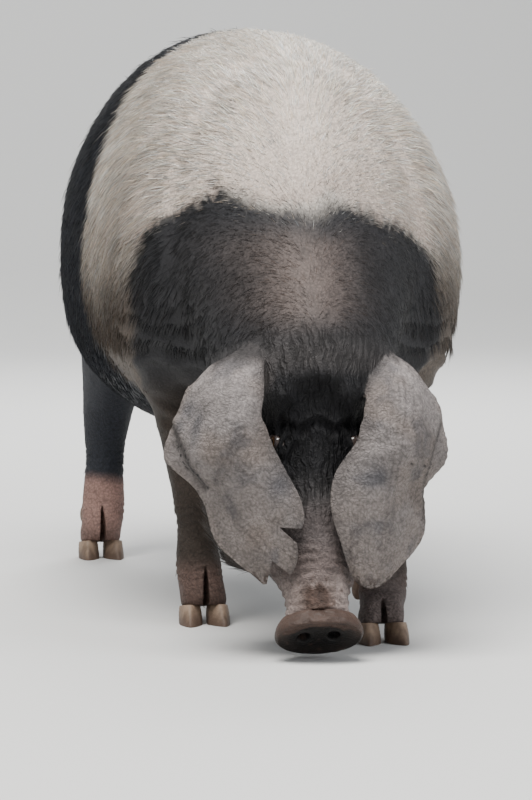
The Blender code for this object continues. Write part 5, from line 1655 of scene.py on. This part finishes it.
def leather_group():
    """The height of fine relief: place and three strengths in, height out.

    Pores come from a noise, soft pebbles from a bent Voronoi pattern; lines along the head and lines
    across it are noises squeezed along one axis."""
    group = bpy.data.node_groups.get("leather")
    if group:
        return group
    group, inside, outside = new_group(
        "leather",
        ("Place", "INPUT", "Vector", None),
        ("Scale", "INPUT", "Float", 220.0),
        ("Strengths", "INPUT", "Vector", (0.5, 0.0, 0.0)),
        ("Height", "OUTPUT", "Float", None),
    )
    link = group.links.new
    bent = add_node(group, "TexNoise", {"Scale": 45})
    moved = add_node(group, "VectorMath", {1: (0.016, 0.016, 0.016)}, "MULTIPLY_ADD")
    cells = add_node(group, "TexVoronoi")
    cells.feature = "F1"
    pores = add_node(group, "TexNoise", {"Scale": 620, "Detail": 3, "Roughness": 0.65})
    pebbles = add_node(group, "Math", {0: 1.0}, "SUBTRACT")
    both = add_node(group, "Math", operation="ADD")
    parts = add_node(group, "SeparateXYZ")
    link(inside.outputs["Place"], bent.inputs["Vector"])
    link(bent.outputs["Color"], moved.inputs[0])
    link(inside.outputs["Place"], moved.inputs[2])
    link(moved.outputs[0], cells.inputs["Vector"])
    link(inside.outputs["Scale"], cells.inputs["Scale"])
    link(inside.outputs["Place"], pores.inputs["Vector"])
    link(pores.outputs[0], both.inputs[0])
    link(cells.outputs["Distance"], pebbles.inputs[1])
    link(pebbles.outputs[0], both.inputs[1])
    link(inside.outputs["Strengths"], parts.inputs[0])
    heights = [both.outputs[0]]
    for squeeze, scale in LEATHER_LINES:
        squeezed = add_node(group, "VectorMath", {1: squeeze}, "MULTIPLY")
        lines = add_node(group, "TexNoise", {"Scale": scale, "Detail": 2})
        sharper = add_node(group, "MapRange", {"From Min": 0.36, "From Max": 0.62, "To Max": 1.8})
        link(moved.outputs[0], squeezed.inputs[0])
        link(squeezed.outputs[0], lines.inputs["Vector"])
        link(lines.outputs[0], sharper.inputs["Value"])
        heights.append(sharper.outputs["Result"])
    total = None
    for height, strength in zip(heights, parts.outputs):
        weighed = add_node(group, "Math", operation="MULTIPLY" if total is None else "MULTIPLY_ADD")
        link(height, weighed.inputs[0])
        link(strength, weighed.inputs[1])
        if total is not None:
            link(total, weighed.inputs[2])
        total = weighed.outputs[0]
    link(total, outside.inputs["Height"])
    return group


def painted_material(name, roughness, mottle=0.3, crease=0.0, crease_scale=220.0, grain_name=None, coat=0.0):
    """Colour from the piece's own paint, mottled, with painted shade in the creases and painted light on the
    ridges of the relief that grain_name asks for.
    """
    material = bpy.data.materials.new(name)
    material.use_nodes = True
    tree = material.node_tree
    link = tree.links.new
    shader = tree.nodes["Principled BSDF"]
    set_inputs(shader, {"Roughness": roughness, "Coat Weight": coat, "Coat Roughness": 0.06})
    set_inputs(shader, {"Specular IOR Level": 0.22})
    place = add_node(tree, "TexCoord")
    colour = add_node(tree, "VertexColor")
    colour.layer_name = "paint"
    mottled = add_node(tree, "Group")
    mottled.node_tree = mottle_group()
    set_inputs(mottled, {"Strength": mottle})
    link(colour.outputs["Color"], mottled.inputs["Colour"])
    link(place.outputs["Object"], mottled.inputs["Place"])
    link(mottled.outputs["Colour"], shader.inputs["Base Color"])
    if crease:
        leather = add_node(tree, "Group")
        leather.node_tree = leather_group()
        set_inputs(leather, {"Scale": crease_scale})
        relief = add_node(tree, "Bump", {"Distance": crease, "Strength": 1.0})
        link(place.outputs["Object"], leather.inputs["Place"])
        link(leather.outputs["Height"], relief.inputs["Height"])
        link(relief.outputs["Normal"], shader.inputs["Normal"])
        if grain_name:
            grain = add_node(tree, "VertexColor")
            grain.layer_name = grain_name
            link(grain.outputs["Color"], leather.inputs["Strengths"])
            height, plain = leather.outputs["Height"], mottled.outputs["Colour"]
            # Painted shade in the creases and painted light on the ridges
            shaded = painted_cavity_shade(tree, grain.outputs["Color"], height, plain)
            link(shaded, shader.inputs["Base Color"])
    return material


def painted_cavity_shade(tree, strengths, height, colour):
    """The colour with painted shade where the relief lies low against its strengths and painted light where
    it is high.
    """
    link = tree.links.new
    usual = add_node(tree, "VectorMath", {1: USUAL_HEIGHT}, "DOT_PRODUCT")
    share = add_node(tree, "Math", operation="DIVIDE")
    (low, high), (dark, bright) = CAVITY_SHADE_RANGE
    depth = add_node(tree, "MapRange", {"From Min": low, "From Max": high, "To Min": dark, "To Max": bright})
    shaded = add_node(tree, "VectorMath", operation="SCALE")
    link(strengths, usual.inputs[0])
    link(height, share.inputs[0])
    link(usual.outputs["Value"], share.inputs[1])
    link(share.outputs[0], depth.inputs["Value"])
    link(colour, shaded.inputs[0])
    link(depth.outputs["Result"], shaded.inputs["Scale"])
    return shaded.outputs["Vector"]


def wear(obj, material):
    """Gives the object one material alone."""
    obj.data.materials.clear()
    obj.data.materials.append(material)
    return obj


def grain_of(points, ears):
    """How strongly three kinds of fine relief show: pebbles, lines along the head, lines across it."""
    s = head_place(points)[:, 1]
    on_ear, _, v, _, _ = ears
    face = face_share(points, ears)
    pores = 0.30 + 0.45 * face + 0.75 * on_ear
    pores = np.maximum(pores, 0.7 * eased(points[:, 2], 0.30, 0.20))
    bridge = face * eased(s, 0.10, 0.17)
    across = np.maximum(on_ear * (0.12 - 0.06 * eased(v, 0.4, 0.8)), 0.24 * face * eased(s, 0.15, 0.08))
    return np.stack([pores, bridge, across], 1)


def studio():
    """A pale floor that curves up into a backdrop, the soft lamps and an even sky."""
    turn = np.linspace(0, np.pi / 2, 24)
    curve = FLOOR_END + FLOOR_CURVE * np.sin(turn[1:])
    depth = np.concatenate([[-FLOOR_HALF, FLOOR_END], curve, [FLOOR_END + FLOOR_CURVE]])
    height = np.concatenate([[0, 0], FLOOR_CURVE - FLOOR_CURVE * np.cos(turn[1:]), [BACKDROP]])
    across = np.repeat([[-FLOOR_HALF], [FLOOR_HALF]], len(depth), axis=1)
    shape = across.shape
    points = np.stack([across, np.broadcast_to(depth, shape), np.broadcast_to(height, shape)], -1)
    k = np.arange(len(depth) - 1)
    faces = np.stack([k, k + 1, k + 1 + len(depth), k + len(depth)], 1)[:, ::-1]
    floor = bpy.data.meshes.new("floor")
    floor.from_pydata(points.reshape(-1, 3).tolist(), [], faces.tolist())
    stage = new_object("floor", floor)
    floor.shade_smooth()
    plain = bpy.data.materials.new("floor_pale")
    plain.use_nodes = True
    set_inputs(plain.node_tree.nodes["Principled BSDF"], {"Base Color": FLOOR_TONE, "Roughness": 0.9})
    wear(stage, plain)
    look = bpy.context.scene.domestic_pig_look
    for name, place, aim, size, power, colour in LIGHTS:
        data = bpy.data.lights.new(name, "AREA")
        data.shape, data.size, data.energy, data.color = "DISK", size, power * look.light, colour
        light = bpy.data.objects.new(name, data)
        bpy.context.scene.collection.objects.link(light)
        light.location = place
        light.rotation_mode = "QUATERNION"
        light.rotation_quaternion = (Vector(aim) - light.location).to_track_quat("-Z", "Y")
    world = bpy.data.worlds.new("pale_world")
    world.use_nodes = True
    set_inputs(world.node_tree.nodes["Background"], {"Color": SKY_TONE, "Strength": look.world})
    bpy.context.scene.world = world
    return stage


def photo_camera():
    """The camera where the photo's stood: ahead, on her right, level with her back."""
    data = bpy.data.cameras.new("photo_camera")
    camera = bpy.data.objects.new("photo_camera", data)
    bpy.context.scene.collection.objects.link(camera)
    azimuth = math.radians(CAMERA_AZIMUTH)
    ahead = Vector((math.sin(azimuth), math.cos(azimuth), 0))
    camera.location = Vector(CAMERA_PIVOT) - ahead * CAMERA_BACK
    camera.rotation_mode = "QUATERNION"
    look = ahead - Vector((0, 0, math.tan(math.radians(CAMERA_DOWN))))
    camera.rotation_quaternion = look.to_track_quat("-Z", "Y")
    data.sensor_fit, data.sensor_width, data.sensor_height = "AUTO", 36, 36
    data.lens = CAMERA_LENS
    data.clip_end = 100
    bpy.context.scene.camera = camera
    return camera


def settled(objects, *slots):
    """Moves finished meshes from the tables' frame to the shared one and hangs each under the root body; the
    slots are not used.
    """
    shift = Matrix.Translation(bench["shift"])
    for obj in objects:
        obj.data.transform(shift)
        obj.data.update()
        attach(obj, "root")
    return objects


def frame_shift():
    """From the tables' frame to the shared one, by where the left forefoot's outer claw lies in each."""
    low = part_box("claw_outer_front_left")[0]
    rings = claw_rings(LEGS["leg_front_left"][2], 1)
    return Vector(low) - Vector(rings.reshape(-1, 3).min(0))


# What one operator lays down for the next: skin, the eyes' places, the map of the ears, the shift
bench = {}


def colour_choice(title, text, default):
    """A colour in the panel."""
    return bpy.props.FloatVectorProperty(
        name=title, description=text, default=default, size=3, min=0, max=1, subtype="COLOR"
    )


class PigLook(bpy.types.PropertyGroup):
    """Choices for the pig's coat, skin and light."""

    saddle: colour_choice("Saddle", "The pale hair of back and shoulders", CREAM)
    patch: colour_choice("Front patch", "The dark hair of neck and throat", DARK)
    rump: colour_choice("Rump", "The black hair from the loins back", RUMP)
    face: colour_choice("Face", "The dark skin of the face", FACE)
    ear: colour_choice("Ears", "The grey leather of the ears", EAR)
    snout: colour_choice("Snout", "The rim of the snout disc", SNOUT)
    horn: colour_choice("Claws", "The horn of the claws", HORN)
    hair_length: bpy.props.FloatProperty(
        name="Hair length", description="Length of the longest hair", default=0.036, min=0.001, unit="LENGTH"
    )
    hair_width: bpy.props.FloatProperty(
        name="Hair thickness", description="Half the thickness of a hair",
        default=0.00042, min=0.0001, unit="LENGTH"
    )
    strands: bpy.props.IntProperty(
        name="Hairs", description="Hairs over the whole body",
        default=130000, min=1000,
    )
    seed: bpy.props.IntProperty(name="Seed", description="Seed that scatters the hairs", default=7)
    skin_roughness: bpy.props.FloatProperty(
        name="Skin roughness", description="How dull the skin is",
        default=0.62, min=0, max=1, subtype="FACTOR"
    )
    crease: bpy.props.FloatProperty(
        name="Crease depth", description="Depth of the fine creases", default=0.0016, min=0, unit="LENGTH"
    )
    hair_roughness: bpy.props.FloatProperty(
        name="Hair roughness", description="How dull the hair is",
        default=0.48, min=0, max=1, subtype="FACTOR"
    )
    light: bpy.props.FloatProperty(name="Light", description="Strength of the lamps", default=1.0, min=0)
    world: bpy.props.FloatProperty(name="Sky", description="Strength of the even light", default=0.40, min=0)


class BuildSkin(bpy.types.Operator):
    """Make the whole skin from the snout to the tail, with both ears"""

    bl_idname = "domestic_pig.skin"
    bl_label = "Skin"

    def execute(self, context):
        look = context.scene.domestic_pig_look
        skin, places, ear_map = skin_body()
        bench["skin"], bench["eye_places"], bench["ear_map"] = skin, places, ear_map
        points = vertices(skin)
        ears = ear_map.look(points)
        colours = markings(points, ears)
        # Under pale hair the skin is pink, darkened with painted shade between the hairs
        covered = eased(colours.mean(1), 0.25, 0.40)
        paint(skin, mixed(colours, np.array(SKIN_PINK_SHADED), covered * 0.60))
        paint(skin, grain_of(points, ears), "grain")
        finish = painted_material(
            "pig_skin", look.skin_roughness, mottle=0.45, crease=look.crease, crease_scale=260.0,
            grain_name="grain",
        )
        wear(skin, finish)
        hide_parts(*SKIN_NODES)
        return {"FINISHED"}


class BuildCoat(bpy.types.Operator):
    """Grow the bristles over the skin"""

    bl_idname = "domestic_pig.coat"
    bl_label = "Coat"

    def execute(self, context):
        look = context.scene.domestic_pig_look
        hairs = coat(bench["skin"], look.strands, look.seed)
        material = painted_material("pig_hair", look.hair_roughness, mottle=0.10)
        for piece in hairs:
            wear(piece, material)
        settled(hairs, "saddle_skin")
        settled([bench["skin"]], "saddle_skin")
        return {"FINISHED"}


class BuildEyes(bpy.types.Operator):
    """Set both eyes in their sockets, with the bare rims of the lids"""

    bl_idname = "domestic_pig.eyes"
    bl_label = "Eyes"

    def execute(self, context):
        wet = painted_material("eye_wet", roughness=0.08, mottle=0.05, coat=1.0)
        rim = painted_material("lid_skin", roughness=0.40, mottle=0.2)
        for side, matrix in bench["eye_places"]:
            ball = wear(eyeball(side, matrix), wet)
            ball.data.shade_smooth()
            settled([ball], "eye")
            settled([wear(lid_rim(side, matrix), rim)], "face_skin")
            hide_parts("eye_left" if side > 0 else "eye_right")
        return {"FINISHED"}


class BuildSnout(bpy.types.Operator):
    """Make the snout disc with its two nostrils"""

    bl_idname = "domestic_pig.snout"
    bl_label = "Snout disc"

    def execute(self, context):
        disc = disc_shape()
        finish = painted_material("snout_skin", 0.45, mottle=0.5, crease=0.0012, crease_scale=420.0)
        wear(disc, finish)
        settled([disc], "snout")
        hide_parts("snout_disc")
        return {"FINISHED"}


class BuildClaws(bpy.types.Operator):
    """Make the claws and dewclaws of all four feet"""

    bl_idname = "domestic_pig.claws"
    bl_label = "Claws"

    def execute(self, context):
        horn = painted_material("claw_horn", roughness=0.50, mottle=0.4, crease=0.0005, crease_scale=300.0)
        for foot in ("front_left", "front_right", "hind_left", "hind_right"):
            for part, side in (("inner", -1), ("outer", 1)):
                for shape, node in ((claw, "claw"), (dewclaw, "dewclaw")):
                    made = shape(foot, part, side)
                    settled([wear(made, horn)], "horn")
                    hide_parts(f"{node}_{part}_{foot}")
        return {"FINISHED"}


class BuildStage(bpy.types.Operator):
    """Set up the floor, the lights and the photo's camera"""

    bl_idname = "domestic_pig.stage"
    bl_label = "Stage"

    def execute(self, context):
        studio()
        photo_camera()
        return {"FINISHED"}


class PigPanel(bpy.types.Panel):
    """Builds the pig piece by piece, in order from the top"""

    bl_idname = "VIEW3D_PT_domestic_pig"
    bl_label = "Domestic pig"
    bl_space_type = "VIEW_3D"
    bl_region_type = "UI"
    bl_category = "Domestic pig"

    def draw(self, context):
        look = context.scene.domestic_pig_look
        for name in PigLook.__annotations__:
            self.layout.prop(look, name)
        for operator in OPERATORS:
            self.layout.operator(operator.bl_idname)


OPERATORS = (BuildSkin, BuildCoat, BuildEyes, BuildSnout, BuildClaws, BuildStage)
CLASSES = (PigLook, *OPERATORS, PigPanel)


def register():
    """Adds the pig's operators, its panel and its choices to Blender."""
    for cls in CLASSES:
        bpy.utils.register_class(cls)
    bpy.types.Scene.domestic_pig_look = bpy.props.PointerProperty(type=PigLook)


def unregister():
    """Takes them out again."""
    del bpy.types.Scene.domestic_pig_look
    for cls in reversed(CLASSES):
        bpy.utils.unregister_class(cls)


def main():
    """Builds the pig piece by piece."""
    register()
    bench["shift"] = frame_shift()
    for operator in OPERATORS:
        category, name = operator.bl_idname.split(".")
        getattr(getattr(bpy.ops, category), name)()


if __name__ == "__main__":
    main()
